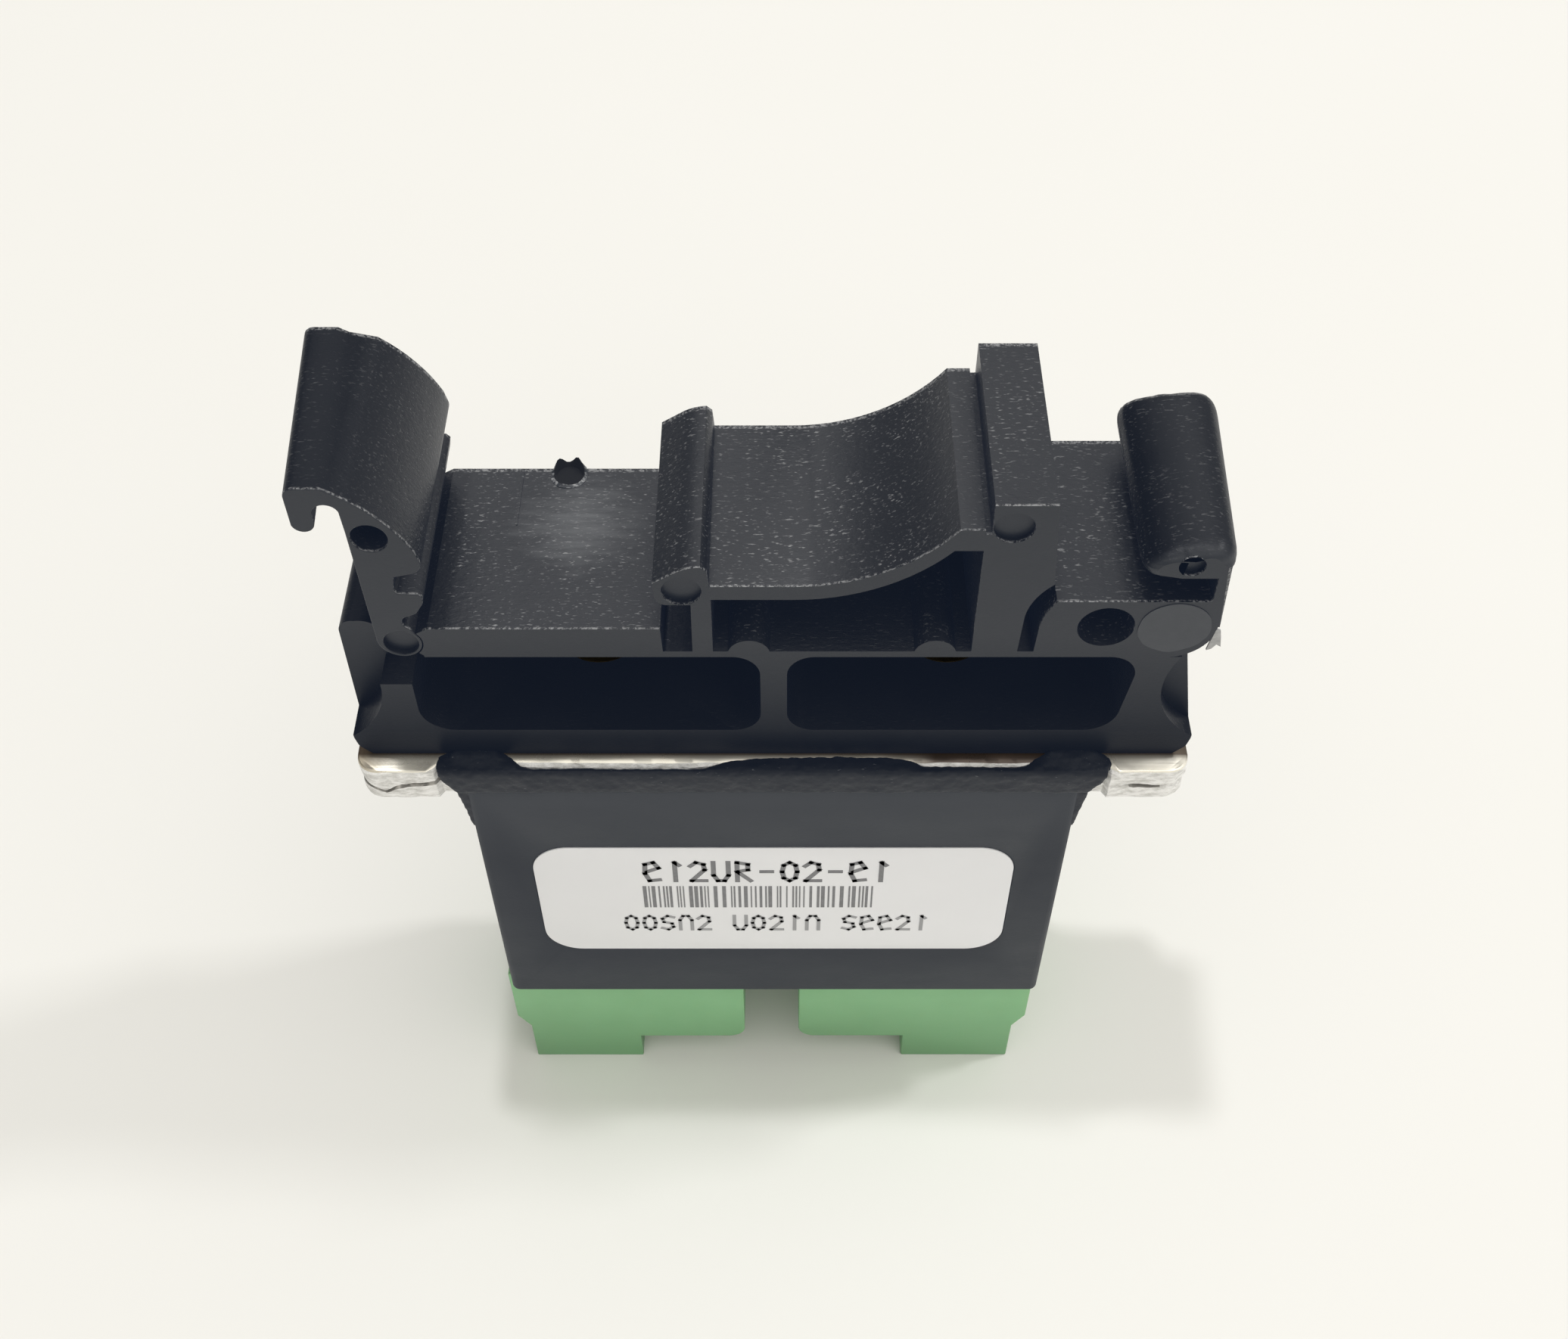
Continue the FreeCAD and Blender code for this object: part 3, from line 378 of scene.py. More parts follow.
def metal(name, low, high, roughness, scale=(1, 1, 1)):
    """Plated or turned metal with a fine directional finish."""
    paint = Paint(name)
    lines = paint.noise(5.0, 3.0, 0.6, scale)
    colour = paint.mix(lines, low, high)
    normal = paint.bump(lines, 0.2, 0.02)
    level = paint.spread(paint.noise(1.0, 3.0), 0.3, 0.7, roughness, roughness + 0.12)
    return paint.finish(Base_Color=colour, Metallic=1.0, Roughness=level, Normal=normal)


def plastic(name, low, high, roughness, grain=4.0):
    """Moulded or cast part with a mottled colour and a fine grain."""
    paint = Paint(name)
    colour = paint.mix(paint.noise(0.8, 3.0), low, high)
    normal = paint.bump(paint.noise(grain, 3.0, 0.6), 0.2, 0.03)
    return paint.finish(Base_Color=colour, Roughness=roughness, Normal=normal)


def board_laminate():
    """Solder resist over copper tracks that show as faint lighter lanes."""
    paint = Paint("board_laminate")
    lanes = paint.spread(paint.cells(0.35, (1, 1, 0.01)), 0.28, 0.33)
    colour = paint.mix(lanes, (0.02, 0.14, 0.05, 1), (0.04, 0.24, 0.09, 1))
    return paint.finish(Base_Color=colour, Roughness=0.32, Normal=paint.bump(lanes, 0.3, 0.05))


def banded_resistor():
    """Lacquered resistor with colour bands across its long axis."""
    paint = Paint("resistor_bands")
    along = paint.calculate("ADD", paint.x, paint.y)
    wave = paint.calculate("SINE", paint.product(along, 4.2))
    bands = paint.spread(wave, 0.62, 0.7)
    colour = paint.mix(paint.noise(1.0), (0.10, 0.30, 0.48, 1), (0.14, 0.36, 0.55, 1))
    colour = paint.mix(bands, colour, (0.35, 0.06, 0.03, 1))
    return paint.finish(Base_Color=colour, Roughness=0.35, Normal=paint.bump(paint.noise(3.0), 0.1, 0.03))


def thin_flash():
    """Torn flash of the foot, so thin that it looks grey."""
    paint = Paint("nylon_flash")
    colour = paint.mix(paint.noise(3.0, 3.0), grey(0.22, 1.02), grey(0.55, 1.0))
    return paint.finish(Base_Color=colour, Roughness=0.5, Normal=paint.bump(paint.noise(6.0), 0.3, 0.04))


def floor_paint():
    paint = Paint("desk_white")
    colour = paint.mix(paint.noise(0.02, 2.0), (0.795, 0.785, 0.745, 1), (0.81, 0.80, 0.765, 1))
    return paint.finish(Base_Color=colour, Roughness=0.7, Normal=paint.bump(paint.noise(1.5), 0.05, 0.05))


PAINTS = {
    "black_nylon": black_nylon(),
    "plate_metal": plate_metal(),
    "sheared": sheared_metal(),
    "crack": torn_crack(),
    "zinc_steel": metal("zinc_steel", (0.50, 0.51, 0.53, 1), (0.68, 0.69, 0.72, 1), 0.30, (1, 6, 6)),
    "insert_brass": metal("insert_brass", (0.045, 0.036, 0.022, 1), (0.09, 0.07, 0.04, 1), 0.5, (1, 1, 6)),
    "black_resin": black_resin(),
    "black_case": black_case(),
    "label_paper": label_paper(),
    "ink": label_ink(),
    "board_laminate": board_laminate(),
    "chip_black": plastic("chip_black", grey(0.018), grey(0.030), 0.55),
    "chip_white": plastic("chip_white", (0.62, 0.61, 0.57, 1), (0.74, 0.73, 0.69, 1), 0.45),
    "pad_grey": plastic("pad_grey", grey(0.34, 1.05), grey(0.44, 1.05), 0.8),
    "tinned_metal": metal("tinned_metal", (0.60, 0.60, 0.58, 1), (0.80, 0.79, 0.76, 1), 0.32),
    "capacitor_yellow": plastic("capacitor_yellow", (0.62, 0.40, 0.04, 1), (0.72, 0.50, 0.07, 1), 0.35),
    "resistor_blue": banded_resistor(),
    "green_plastic": green_plastic(),
    "flash": thin_flash(),
    "glint_dashes": glint_dash_nylon(),
    "pit": dark_pit(),
    "scar": pin_scar(),
    "floor": floor_paint(),
}


# ---------------------------------------------------------------- mesh helpers

def smooth(mesh, degrees=27):
    """Smooth shading with sharp edges above an angle."""
    mesh.polygons.foreach_set("use_smooth", [True] * len(mesh.polygons))
    mesh.set_sharp_from_angle(angle=math.radians(degrees))


def crisp_sides(mesh):
    """Shade the flat front and rear faces apart from the rounded edges round them."""
    bm = bmesh.new()
    bm.from_mesh(mesh)
    for edge in bm.edges:
        flat = [abs(face.normal.y) > 0.99 for face in edge.link_faces]
        if any(flat) and not all(flat):
            edge.smooth = False
    bm.to_mesh(mesh)
    bm.free()


def object_from(name, bm):
    """Make a linked object from a bmesh in metres and free the bmesh."""
    mesh = bpy.data.meshes.new(name)
    bmesh.ops.recalc_face_normals(bm, faces=bm.faces)
    bm.to_mesh(mesh)
    bm.free()
    made = bpy.data.objects.new(name, mesh)
    scene.collection.objects.link(made)
    return made


def new_piece(name, bm, body, paints, replaced=()):
    """Make a piece from a bmesh in metres and put it on a CAD body."""
    piece = object_from(name, bm)
    for paint in paints:
        piece.data.materials.append(PAINTS[paint])
    smooth(piece.data)
    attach(piece, body)
    if replaced:
        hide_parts(*replaced)
    return piece


def taken_from(made):
    """The modified shape of an object as a bmesh.  The object itself is deleted."""
    shape = made.evaluated_get(bpy.context.evaluated_depsgraph_get()).to_mesh()
    result = bmesh.new()
    result.from_mesh(shape)
    mesh = made.data
    bpy.data.objects.remove(made)
    bpy.data.meshes.remove(mesh)
    return result


def copy_of(node):
    """A CAD node's mesh as a bmesh, with its flat faces joined again."""
    bm = bmesh.new()
    bm.from_mesh(frame["nodes"][node].data)
    bmesh.ops.remove_doubles(bm, verts=bm.verts, dist=1e-6)
    bmesh.ops.dissolve_limit(bm, angle_limit=math.radians(0.6), verts=bm.verts, edges=bm.edges)
    return bm


def cut(bm, faces, spot, normal):
    """Cut some faces along a plane through a point in millimetres."""
    geometry = set(faces)
    for face in faces:
        geometry.update(face.edges)
        geometry.update(face.verts)
    bmesh.ops.bisect_plane(bm, geom=list(geometry), dist=1e-7, plane_co=Vector(spot) * MM,
                           plane_no=normal)


def sharp_edges(bm, chosen, degrees=25):
    """Edges steeper than an angle whose middle, in millimetres, is chosen."""
    found = []
    bm.normal_update()
    for edge in bm.edges:
        if len(edge.link_faces) != 2 or edge.calc_face_angle(0.0) < math.radians(degrees):
            continue
        middle = (edge.verts[0].co + edge.verts[1].co) / 2 / MM
        if chosen(middle):
            found.append(edge)
    return found


def round_edges(bm, edges, width, segments):
    """Bevel edges by a width in millimetres."""
    bmesh.ops.bevel(bm, geom=edges, offset=width * MM, segments=segments, profile=0.5,
                    affect="EDGES", clamp_overlap=True)


def loft(bm, rings, ends=True):
    """Closed tube through rings of points in millimetres.  Returns the bands of side faces."""
    rows = [[bm.verts.new(Vector(point) * MM) for point in ring] for ring in rings]
    bands = []
    for lower, upper in zip(rows, rows[1:]):
        count = len(lower)
        bands.append([bm.faces.new((lower[i], lower[(i + 1) % count], upper[(i + 1) % count], upper[i]))
                      for i in range(count)])
    if ends:
        bm.faces.new(rows[0])
        bm.faces.new(rows[-1])
    return bands


def add_box(bm, low, high):
    """A closed box between two corners in millimetres."""
    x0, y0, z0 = low
    x1, y1, z1 = high
    loft(bm, [[(x0, y0, z), (x1, y0, z), (x1, y1, z), (x0, y1, z)] for z in (z0, z1)])


def wander(x, seed, rate=1.0):
    """Smooth random wave between about -1 and 1."""
    return noise.noise(Vector((x * rate, seed * 7.31, seed * 3.17)))


def between(x, points):
    """Height of a polyline of (x, height) points at x."""
    if x <= points[0][0]:
        return points[0][1]
    for (x0, h0), (x1, h1) in zip(points, points[1:]):
        if x <= x1:
            return h0 + (h1 - h0) * (x - x0) / (x1 - x0)
    return points[-1][1]


# ---------------------------------------------------------------- CAD nodes that stay

def soften_node(name, width, segments=2):
    """Join a node's facets and round its edges with modifiers only."""
    node = frame["nodes"][name]
    smooth(node.data)
    weld = node.modifiers.new("weld", "WELD")
    weld.merge_threshold = 1e-6
    flat = node.modifiers.new("flat", "DECIMATE")
    flat.decimate_type = "DISSOLVE"
    flat.angle_limit = math.radians(0.6)
    bevel = node.modifiers.new("bevel", "BEVEL")
    bevel.width = width * MM
    bevel.segments = segments
    bevel.limit_method = "ANGLE"
    bevel.angle_limit = math.radians(30)
    bevel.harden_normals = True


def dress_nodes():
    """Every CAD node takes its slot's paint and rounded edges."""
    widths = {"body_shell": 0.22, "plug_left": 0.16, "plug_right": 0.16, "header_left": 0.1,
              "header_right": 0.1, "label": 0.02}
    for subpart in frame["record"]["subparts"]:
        name = subpart["node"]
        node = frame["nodes"][name]
        node.data.materials.clear()
        node.data.materials.append(PAINTS[subpart["material_slot"]])
        soften_node(name, widths.get(name, 0.06))


# ---------------------------------------------------------------- rail foot and latch

def on_side(point):
    """Whether a point in millimetres lies on the front or rear face of the foot or the latch."""
    return abs(point.y) > 5.1


def draw_in_base(bm):
    """Slope the lowest part of both side faces inwards."""
    faces = [face for face in bm.faces if all(on_side(vert.co / MM) for vert in face.verts)]
    cut(bm, faces, (0, 0, 33.45), (0, 0, 1))
    for vert in bm.verts:
        spot = vert.co / MM
        if spot.z < 31.7 and on_side(spot):
            vert.co.y *= 0.985


FLAT_TOP = 41.0          # Z of the left flat
SCOOP_WALL = -2.4        # Y of the back wall of both end scoops in the CAD foot


def shallow_scoops(bm):
    """Bring the back wall of both end scoops forward and slope its outer edge."""
    for vert in bm.verts:
        x, y, z = vert.co / MM
        if abs(x) < 17.5 or not 33.0 < z < 41.4:
            continue
        if abs(y - SCOOP_WALL) < 0.1:
            vert.co.y = (-4.0 if x > 0 else -3.3) * MM
        if x > 20.1 and 38.5 < z < 39.3 and y > -4.5:
            vert.co.x = 19.4 * MM


HOOK_AXIS = Vector((18.3, 45.2))      # X and Z of the hole along the hook
HOOK_TOP = [(16.2, 44.95), (16.4, 45.3), (16.8, 45.62), (17.5, 45.9), (18.3, 46.07), (18.9, 46.13)]
NOSE_START = 4.15                     # |Y| where the rounding of both hook ends starts
NOSE_REACH = 1.0


def in_hook(point):
    return point.x > 15.6 and point.z > 44.4


def cut_hook(bm, spot, normal):
    """Cut the faces of the hook along a plane through a point in millimetres."""
    faces = [face for face in bm.faces if all(in_hook(vert.co / MM) for vert in face.verts)]
    cut(bm, faces, spot, normal)


def arch_hook(bm):
    """Give the hook one even arch from its tip to its crown."""
    for x in (16.25, 16.4, 16.6, 16.85, 17.5, 17.8):
        cut_hook(bm, (x, 0, 45), (1, 0, 0))
    for vert in bm.verts:
        spot = vert.co / MM
        if not in_hook(spot) or spot.x > 18.6:
            continue
        on_rim = (Vector((spot.x, spot.z)) - HOOK_AXIS).length
        if on_rim < 0.62:
            continue
        x = 16.2 + (spot.x - 15.8) * 2.4 / 2.8
        vert.co.x = x * MM
        if spot.z > 45.0:
            vert.co.z = between(x, HOOK_TOP) * MM


def flare_hook(bm):
    """The hook's back stands out further at the rear end."""
    for vert in bm.verts:
        spot = vert.co / MM
        if in_hook(spot) and spot.x > 18.2:
            share = min(1.0, (spot.x - 18.2) / 1.5) * min(1.0, (spot.z - 44.4) / 0.6)
            vert.co.x += 0.6 * share * (spot.y - FOOT_LOW.y) / (FOOT_HIGH.y - FOOT_LOW.y) * MM


def round_hook(bm):
    """Round off both ends of the hook like a nose, about its long axis."""
    for sign in (-1, 1):
        for share in (0.0, 0.3, 0.55, 0.75, 0.9):
            cut_hook(bm, (0, sign * (NOSE_START + NOSE_REACH * share), 0), (0, 1, 0))
    for vert in bm.verts:
        spot = vert.co / MM
        if not in_hook(spot) or abs(spot.y) < NOSE_START:
            continue
        share = min(1.0, (abs(spot.y) - NOSE_START) / NOSE_REACH)
        inset = (0.66 if spot.y < 0 else 0.25) * (1 - math.sqrt(1 - share * share))
        away = Vector((spot.x, spot.z)) - HOOK_AXIS
        free = min(1.0, max(0.0, (away.length - 0.65) / 0.3))
        root = 1.0 if spot.x < 19.3 else min(1.0, max(0.0, (spot.z - 44.6) / 0.8))
        pull = away.normalized() * inset * free * root
        vert.co.x -= pull.x * MM
        if spot.z > 44.7:
            vert.co.z -= pull.y * MM


def round_ends(bm):
    """Soften the edges that run across both scooped ends of the foot."""
    edges = []
    for edge in sharp_edges(bm, lambda p: abs(p.x) > 18.2 and 32.0 < p.z < 43.0 and abs(p.y) < 3.0, 12):
        way = edge.verts[0].co - edge.verts[1].co
        if abs(way.y) > 8 * MM:
            edges.append(edge)
    round_edges(bm, edges, 0.4, 4)


def square_off_flat(bm):
    """End the left flat in an upright wall."""
    for vert in bm.verts:
        if -4.65 < vert.co.x / MM < -4.4 and vert.co.z / MM < FLAT_TOP:
            vert.co.x = -5.0 * MM


def make_foot():
    """Foot with rounder hook and softened moulding edges."""
    bm = copy_of("rail_foot")
    draw_in_base(bm)
    shallow_scoops(bm)
    square_off_flat(bm)
    arch_hook(bm)
    round_hook(bm)
    flare_hook(bm)
    round_ends(bm)
    round_edges(bm, sharp_edges(bm, on_side), 0.08, 2)
    piece = new_piece("foot_moulding", bm, "relay", ["black_nylon"], ["rail_foot"])
    crisp_sides(piece.data)


LATCH_HOLE = Vector((-17.15, 46.95))


def widen_latch_hole(bm):
    for vert in bm.verts:
        away = Vector((vert.co.x / MM, vert.co.z / MM)) - LATCH_HOLE
        if away.length < 0.7:
            wide = LATCH_HOLE + away * 1.3
            vert.co.x = wide.x * MM
            vert.co.z = wide.y * MM


def make_latch():
    """Latch whose outer lip stands out further at the rear end."""
    bm = copy_of("rail_latch")
    depth = FOOT_HIGH.y - FOOT_LOW.y
    for vert in bm.verts:
        spot = vert.co / MM
        if spot.x < -18.2:
            vert.co.x -= 0.85 * (spot.y - FOOT_LOW.y) / depth * MM
    widen_latch_hole(bm)
    round_edges(bm, sharp_edges(bm, on_side), 0.10, 2)
    piece = new_piece("latch_moulding", bm, "latch", ["black_nylon"], ["rail_latch"])
    crisp_sides(piece.data)


# ---------------------------------------------------------------- base plate

PLATE_CORNER = 1.1
PLATE_END = PLATE_HIGH.x + 0.32      # the ears stand out a little further than the CAD plate
EAR_START = 16.65
WAIST = 5.85


def plate_outline(step=0.22):
    """Points and outward directions round the plate, anticlockwise from the right ear."""
    x_end, y_end = PLATE_END, PLATE_HIGH.y
    turn = PLATE_CORNER
    centre = Vector((x_end - turn, y_end - turn))
    quarter = []
    for index in range(9):
        angle = math.radians(90 * index / 8)
        way = Vector((math.cos(angle), math.sin(angle)))
        quarter.append((centre + way * turn, way))
    up = Vector((0, 1))
    for index in range(1, int((x_end - turn - EAR_START) / step)):
        quarter.append((Vector((x_end - turn - index * step, y_end)), up))
    quarter.append((Vector((EAR_START, y_end)), up))
    count = int(EAR_START / step)
    for index in range(1, count + 1):
        quarter.append((Vector((EAR_START * (1 - index / count), WAIST)), up))
    second = [(Vector((-p.x, p.y)), Vector((-w.x, w.y))) for p, w in reversed(quarter[:-1])]
    half = quarter + second
    flip = [(-p, -w) for p, w in half]
    side = []
    for index in range(1, 40):
        y = -(y_end - turn) + 2 * (y_end - turn) * index / 40
        side.append((Vector((-x_end, -y)), Vector((-1, 0))))
    rise = [(-p, -w) for p, w in side]
    return half + side + flip + rise


SHEARED_RINGS = [  # height above the underside, inset, share of raggedness
    (2.40, 0.12, 0.0), (2.37, 0.05, 0.1), (2.29, 0.02, 0.2), (2.12, 0.0, 0.5), (1.80, 0.0, 0.9),
    (1.30, 0.02, 1.0), (1.22, 0.75, 0.9), (1.10, 0.70, 0.9), (1.00, 0.05, 0.9), (0.50, 0.06, 0.8),
    (0.14, 0.10, 0.5), (0.0, 0.22, 0.1),
]
CRACK_BANDS = (5, 6, 7, 8)                 # rings that dip where the left ear's crack dips
CRACK_ROWS = (6, 7)                        # rings at the bottom of the crack
DARK_BANDS = CRACK_BANDS[:3]               # side faces painted as the crack
WAIST_ROLL = [0.80, 0.50, 0.26, 0.08]      # the long edges are rolled over further


def hump(x, centre, reach):
    """One at the centre, falling smoothly to zero on both sides."""
    return math.exp(-((x - centre) / reach) ** 2)


def plate_ring(outline, row):
    """One level of the plate's edge, with its torn waves and its crack."""
    height, inset, ragged = SHEARED_RINGS[row]
    points = []
    for spot, way in outline:
        along = spot.x + spot.y * 0.6 + (9 if way.y < 0 else 0)
        pull = inset
        if abs(spot.x) < EAR_START and row < len(WAIST_ROLL):
            pull = WAIST_ROLL[row]
        pull -= ragged * (0.13 * wander(along, 3 + row * 0.05, 1.3) + 0.07 * wander(along, 5 + row, 3.1))
        if row in CRACK_ROWS and spot.x > 0:
            pull *= 0.16 + 1.4 * hump(spot.x, 18.4, 0.7)
        if row in CRACK_ROWS and spot.x < 0:
            pull *= 1 - 0.9 * hump(spot.x, -18.6, 0.25)
        level = height
        if spot.x < 0 and row in CRACK_BANDS:
            level -= 0.42 * hump(spot.x, -19.2, 0.45)
        level += 0.42 * wander(along, 11, 0.7) * ragged * min(1.0, height)
        place = spot - way * max(pull, -0.05)
        points.append((place.x, place.y, PLATE_LOW.z + level))
    return points


SCREW_PLACES = (-8.7, 8.7)
SCREW_LINE = 1.2


def screw_ring(x, radius, z, count=32):
    turns = [2 * math.pi * index / count for index in range(count)]
    return [(x + radius * math.cos(a), SCREW_LINE + radius * math.sin(a), z) for a in turns]


def make_plate():
    """Sheared plate with rolled upper edges, a torn crack round its edge and two countersunk holes."""
    bm = bmesh.new()
    outline = plate_outline()
    rings = [plate_ring(outline, row) for row in range(len(SHEARED_RINGS))]
    bands = loft(bm, rings, ends=False)
    for row, band in enumerate(bands):
        for face in band:
            x = face.calc_center_median().x / MM
            deep = row in DARK_BANDS and (x < 0 or 17.6 < x < 19.2)
            face.material_index = 0 if row < 2 else 2 if deep else 1
    throat = PLATE_LOW.z + 1.35
    for x in SCREW_PLACES:
        loft(bm, [screw_ring(x, 1.55, PLATE_HIGH.z), screw_ring(x, 1.55, throat),
                  screw_ring(x, 2.85, PLATE_LOW.z)], ends=False)
    for level in (PLATE_HIGH.z, PLATE_LOW.z):
        open_edges = [edge for edge in bm.edges if edge.is_boundary
                      and abs(edge.verts[0].co.z / MM - level) < 0.02]
        bmesh.ops.triangle_fill(bm, use_beauty=True, use_dissolve=False, edges=open_edges)
    return new_piece("plate_sheet", bm, "relay", ["plate_metal", "sheared", "crack"],
                     ["base_plate"])


# ---------------------------------------------------------------- resin bead

BODY_FACE = 6.25
BEAD_FOOT = 29.93          # lower edge of the bead on the case
BEAD_TOP = 31.62
# (x, distance of the bead's ragged inner edge from the middle plane)
INNER_EDGE = [(-16.6, 5.3), (-15.9, 4.9), (-13.3, 4.9), (-12.4, 5.75), (-11.8, 5.88), (-3.4, 5.9),
              (-2.8, 5.62), (-1.5, 5.42), (0.4, 5.22), (6.0, 5.28), (6.8, 5.45), (7.4, 5.74),
              (12.2, 5.78), (13.0, 5.45), (13.6, 4.9), (16.2, 4.9), (16.6, 5.3)]


def bead_section(x, sign, seed):
    """Cross-section of the bead at x, as (y, z) points."""
    inner = between(x, INNER_EDGE)
    if sign > 0:
        inner = 5.35 + 0.25 * wander(x, 31, 0.35)
    inner += 0.05 * wander(x, seed, 3.0) + 0.035 * wander(x, seed + 1, 9.0)
    swell = 0.07 * wander(x, seed + 2, 0.45) + 0.03 * wander(x, seed + 3, 2.0)
    face = BODY_FACE + 0.10 + swell
    top = BEAD_TOP + 0.05 + 0.05 * wander(x, seed + 4, 0.6)
    edge_drop = 0.12 if inner > 5.6 else 0.02
    crest = ((face + inner) / 2, top - 0.01 - edge_drop / 2)
    foot = BEAD_FOOT + 0.05 * wander(x, seed + 5, 0.9)
    core = 5.2                 # inner end of the section, hidden under the foot
    return [
        (core, foot + 0.1), (BODY_FACE - 0.25, foot - 0.05), (BODY_FACE + 0.02, foot - 0.02),
        (face - 0.02, foot + 0.10), (face, foot + 0.45), (face + 0.01, foot + 0.95),
        (face - 0.03, top - 0.32), (face - 0.14, top - 0.08), crest,
        (inner + 0.05, top - 0.05 - edge_drop), (inner, top - 0.14 - edge_drop),
        (inner - 0.02, top - 0.5), (core, top - 0.6),
    ]


def bead_strip(bm, sign, seed):
    """Bead along one long edge of the plate, with sloping ends."""
    rings = []
    count = 150
    for index in range(count + 1):
        share = index / count
        x = SEAL_LOW.x + (SEAL_HIGH.x - SEAL_LOW.x) * share
        ring = []
        for y, z in bead_section(x, sign, seed):
            slope = max(0.0, (31.2 - z) / 1.3) * 0.85
            limit = 16.5 - slope
            ring.append((max(-limit, min(limit, x)), sign * y, z))
        rings.append(ring)
    loft(bm, rings)


def blob(bm, rings):
    """Closed lump through oval rings: (x, y, z, half width, half depth)."""
    turns = [2 * math.pi * index / 20 for index in range(20)]
    loft(bm, [[(x + w * math.cos(a), y + d * math.sin(a), z) for a in turns] for x, y, z, w, d in rings])


def bead_necks(bm, sign):
    """Compound that crept up to the foot near both ends."""
    for x, width in ((-14.65, 1.15), (14.8, 1.3)):
        blob(bm, [(x, sign * 5.6, 31.35, width * 1.7, 0.66), (x, sign * 5.55, 31.58, width * 1.5, 0.56),
                  (x, sign * 5.35, 31.70, width * 1.15, 0.46), (x, sign * 5.2, 31.80, width * 0.98, 0.34),
                  (x, sign * 5.1, 31.86, width * 0.9, 0.2)])


def bead_apron(bm):
    """Compound smeared down both narrow sides of the case."""
    for side in (-1, 1):
        rings = []
        inside = side * (SHELL_HIGH.x - 0.4)
        for z, reach in ((30.1, 0.50), (29.2, 0.46), (28.2, 0.28), (26.6, 0.06)):
            skin = side * (SHELL_HIGH.x + reach)
            rings.append([(inside, -6.0, z), (skin, -6.0, z), (skin, 6.0, z), (inside, 6.0, z)])
        loft(bm, rings)


def remeshed(bm, voxel):
    """The lumps of a bmesh grown together into one skin."""
    lumps = object_from("lumps", bm)
    remesh = lumps.modifiers.new("remesh", "REMESH")
    remesh.mode = "VOXEL"
    remesh.voxel_size = voxel * MM
    melt = lumps.modifiers.new("melt", "SMOOTH")
    melt.factor = 0.5
    melt.iterations = 3
    return taken_from(lumps)


def make_bead():
    """Potting compound squeezed out round the plate."""
    bm = bmesh.new()
    for sign, seed in ((-1, 40), (1, 60)):
        bead_strip(bm, sign, seed)
        bead_necks(bm, sign)
    bead_apron(bm)
    skin = remeshed(bm, 0.085)
    for vert in skin.verts:
        spot = vert.co / MM
        rough = noise.noise(spot * 2.6) * 0.035 + noise.noise(spot * 6.0) * 0.018
        vert.co += vert.normal * rough * MM
    return new_piece("resin_bead", skin, "relay", ["black_resin"], ["resin_seal"])


# ---------------------------------------------------------------- label print

PRINT_RISE = 0.02
GLYPHS = [  # strokes of made-up characters, on a grid one wide and one tall
    [(0.5, 0), (0.85, 0.15), (0.95, 0.5), (0.85, 0.85), (0.5, 1), (0.15, 0.85), (0.05, 0.5), (0.15, 0.15),
     (0.5, 0)],
    [(0.05, 0), (0.05, 0.7), (0.3, 1), (0.7, 1), (0.95, 0.7), (0.95, 0)],
    [(0.05, 1), (0.05, 0.3), (0.3, 0), (0.7, 0), (0.95, 0.3), (0.95, 1)],
    [(0.95, 0.9), (0.5, 1), (0.1, 0.8), (0.2, 0.55), (0.8, 0.45), (0.9, 0.2), (0.5, 0), (0.05, 0.1)],
    [(0.5, 0), (0.5, 1), (0.75, 0.85)],
    [(0.05, 0.8), (0.4, 1), (0.85, 0.9), (0.9, 0.6), (0.1, 0), (0.95, 0)],
    [(0.1, 0), (0.1, 1), (0.75, 0.9), (0.75, 0.6), (0.1, 0.5), (0.9, 0)],
    [(0.9, 0.05), (0.3, 0), (0.05, 0.4), (0.1, 0.9), (0.6, 1), (0.9, 0.7), (0.2, 0.5)],
]


def print_stroke(bm, start, end, thick):
    """A bar of ink between two (x, z) points."""
    a, b = Vector(start), Vector(end)
    way = (b - a).normalized() * thick / 2
    side = Vector((-way.y, way.x))
    loop = [a - way - side, b + way - side, b + way + side, a - way + side]
    face = LABEL_LOW.y
    loft(bm, [[(p.x, y, p.y) for p in loop] for y in (face - PRINT_RISE, face + PRINT_RISE)])


def print_row(bm, low, high, bottom, top, layout, thick, rng):
    """A row of made-up characters; a space in the layout leaves a gap and a dash a short bar."""
    pitch = (high - low) / len(layout)
    for index, mark in enumerate(layout):
        left = low + pitch * (index + 0.14)
        width = pitch * 0.72
        if mark == "-":
            middle = (bottom + top) / 2
            print_stroke(bm, (left + width * 0.2, middle), (left + width * 0.8, middle), thick)
        elif mark != " ":
            spots = [(left + u * width, bottom + v * (top - bottom)) for u, v in rng.choice(GLYPHS)]
            for start, end in zip(spots, spots[1:]):
                print_stroke(bm, start, end, thick)


BAR_WIDTHS = (0.07, 0.09, 0.14, 0.2)
BAR_GAPS = (0.08, 0.1, 0.16, 0.26)


def print_bars(bm, low, high, bottom, top, rng):
    """A row of upright bars of random widths and gaps."""
    front, back = LABEL_LOW.y - PRINT_RISE, LABEL_LOW.y + PRINT_RISE
    x = low
    while x < high:
        width = rng.choice(BAR_WIDTHS)
        add_box(bm, (x, front, bottom), (min(x + width, high), back, top))
        x += width + rng.choice(BAR_GAPS)


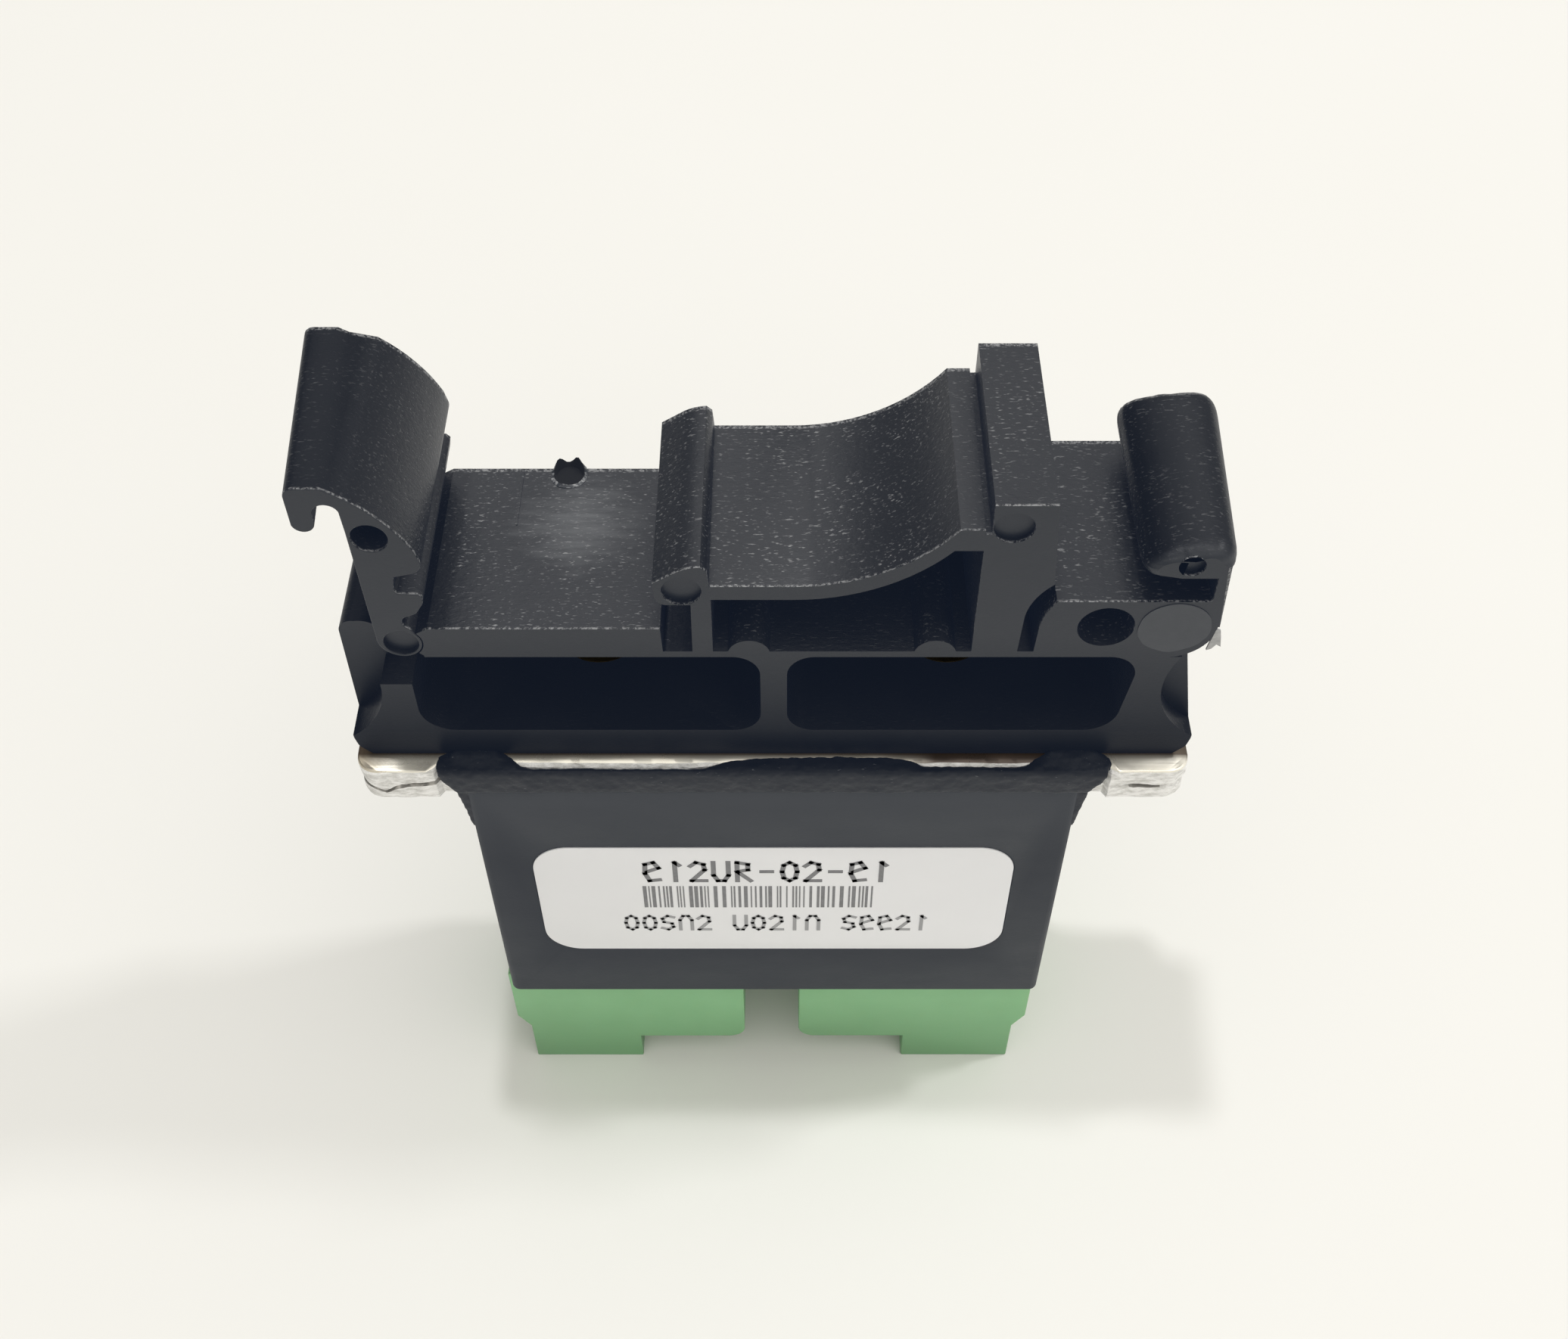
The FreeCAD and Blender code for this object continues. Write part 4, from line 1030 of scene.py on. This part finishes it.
def make_print():
    """Two rows of made-up characters with a row of bars between them."""
    rng = random.Random(12)
    bm = bmesh.new()
    print_row(bm, -7.0, 6.3, 21.95, 23.7, "xxxxx-xx-xx", 0.26, rng)
    print_bars(bm, -7.0, 5.35, 19.3, 21.4, rng)
    print_row(bm, -8.3, 8.6, 17.0, 18.4, "xxxxx xxxxx xxxxx", 0.2, rng)
    return new_piece("label_print", bm, "relay", ["ink"])


# ---------------------------------------------------------------- small marks of the moulding

def make_gate_stub():
    """Torn gate on the rear edge of the left flat: a ragged rim with painted glint dashes round a pit
    painted near black as shade.
    """
    bm = bmesh.new()
    centre = Vector((-9.9, 4.75))
    rng = random.Random(5)
    rings = [[], [], [], []]
    count = 28
    for index in range(count):
        angle = 2 * math.pi * index / count
        way = Vector((math.cos(angle), math.sin(angle)))
        rear = max(0.0, way.y)
        peak = 0.06 + 0.75 * rear * abs(way.x) + 0.2 * rng.random() * (0.3 + rear)
        outer = centre + way * (0.86 + 0.06 * rng.random())
        inner = centre + way * 0.6
        middle = (outer + inner) / 2
        rings[0].append((outer.x, outer.y, FLAT_TOP - 0.1))
        rings[1].append((outer.x, outer.y, FLAT_TOP + 0.04 + peak * 0.4))
        rings[2].append((middle.x, middle.y, FLAT_TOP + 0.08 + peak))
        rings[3].append((inner.x, inner.y, FLAT_TOP + 0.07))
    bands = loft(bm, rings)
    for face in bm.faces:
        # rim faces take the painted glint dashes, the pit and its slope the painted shade
        face.material_index = 1 if len(face.verts) > 4 or face in bands[2] else 0
    return new_piece("gate_stub", bm, "relay", ["glint_dashes", "pit"])


def make_pin_scar():
    """Flush lighter disc on the label side of the pod."""
    bm = bmesh.new()
    rim = []
    for index in range(36):
        angle = 2 * math.pi * index / 36
        reach = 1.66 + 0.05 * wander(math.cos(angle) * 3, 21) + 0.04 * wander(math.sin(angle) * 5, 22)
        rim.append((18.2 + reach * math.cos(angle), 41.15 + reach * 0.98 * math.sin(angle)))
    face = FOOT_LOW.y
    loft(bm, [[(x, y, z) for x, z in rim] for y in (face - 0.035, face + 0.03)])
    return new_piece("pin_scar", bm, "relay", ["scar"])


def make_flash():
    """Thin torn flash at the right end of the foot."""
    bm = bmesh.new()
    rim = [(20.12, 41.05), (20.33, 40.95), (20.42, 40.5), (20.52, 39.85), (20.30, 40.0), (20.12, 39.7),
           (19.9, 39.6), (19.98, 40.2)]
    loft(bm, [[(x, y, z) for x, z in rim] for y in (-5.16, -5.06)])
    return new_piece("foot_flash", bm, "relay", ["flash"])


def make_witness_line():
    """Low step that an insert of the mould left on the left flat."""
    bm = bmesh.new()
    add_box(bm, (-12.22, 1.4, FLAT_TOP), (-12.12, FOOT_HIGH.y - 0.15, FLAT_TOP + 0.09))
    return new_piece("mould_line", bm, "relay", ["black_nylon"])


# ---------------------------------------------------------------- stage, lights and camera

def make_stage():
    """White desk under the relay."""
    bpy.ops.mesh.primitive_plane_add(size=3)
    floor = bpy.context.object
    floor.name = "floor"
    floor.data.materials.append(PAINTS["floor"])


ROOM_WALLS = 0.20          # light from the walls and from the brightest spot of the ceiling
ROOM_CEILING = 1.545
LAMP_TARGET = Vector((0, 0, 0.03))


def add_lamp(name, direction, distance, size, power, colour, glossy_only=False):
    """Square lamp at a distance along a direction, aimed at the relay."""
    light = bpy.data.lights.new(name, "AREA")
    light.size = size
    light.energy = power
    light.color = colour
    lamp = bpy.data.objects.new(name, light)
    way = Vector(direction).normalized()
    lamp.location = LAMP_TARGET + way * distance
    lamp.rotation_euler = way.to_track_quat("Z", "Y").to_euler()
    lamp.visible_diffuse = not glossy_only
    scene.collection.objects.link(lamp)


def make_lights():
    """Two small overhead lamps, one that only shows in glossy reflections, and the room."""
    add_lamp("lamp_right", (0.70, 0.17, 1.0), 1.0, 0.10, 1.97, (0.985, 0.985, 1.0))
    add_lamp("lamp_above", (-0.13, 0.087, 1.0), 1.2, 0.062, 3.65, (0.985, 0.985, 1.0))
    add_lamp("sheen", (-0.02, 0.70, 0.71), 0.4, 0.26, 0.20, (1.0, 0.99, 0.98), True)
    make_room()
    scene.view_settings.view_transform = "Standard"


def make_room():
    """Room light: a broad bright ceiling leaning to the near right side, and dim walls."""
    world = bpy.data.worlds.new("room")
    world.use_nodes = True
    tree = world.node_tree
    way = tree.nodes.new("ShaderNodeTexCoord")
    lean = tree.nodes.new("ShaderNodeVectorMath")
    lean.operation = "DOT_PRODUCT"
    lean.inputs[1].default_value = (0.30, -0.35, 0.88)
    tree.links.new(way.outputs["Generated"], lean.inputs[0])
    facing = tree.nodes.new("ShaderNodeMath")
    facing.operation = "MAXIMUM"
    facing.inputs[1].default_value = 0.0
    tree.links.new(lean.outputs["Value"], facing.inputs[0])
    lobe = tree.nodes.new("ShaderNodeMath")
    lobe.operation = "POWER"
    lobe.inputs[1].default_value = 2.0
    tree.links.new(facing.outputs[0], lobe.inputs[0])
    level = tree.nodes.new("ShaderNodeMapRange")
    level.inputs["To Min"].default_value = ROOM_WALLS
    level.inputs["To Max"].default_value = ROOM_CEILING
    tree.links.new(lobe.outputs[0], level.inputs["Value"])
    background = tree.nodes["Background"]
    background.inputs["Color"].default_value = (1.0, 0.985, 0.943, 1)
    tree.links.new(level.outputs["Result"], background.inputs["Strength"])
    scene.world = world


def make_camera():
    """Looks down at the relay over its label side."""
    data = bpy.data.cameras.new("camera")
    data.sensor_width = 36.0
    data.lens = 40.48
    data.clip_start = 0.001
    camera = bpy.data.objects.new("camera", data)
    camera.location = Vector((0.56, -57.25, 101.4)) * MM
    camera.rotation_euler = (math.radians(39.5), 0, 0)
    scene.collection.objects.link(camera)
    scene.camera = camera


dress_nodes()
make_foot()
make_latch()
make_plate()
make_bead()
make_print()
make_gate_stub()
make_pin_scar()
make_flash()
make_witness_line()
make_stage()
make_lights()
make_camera()
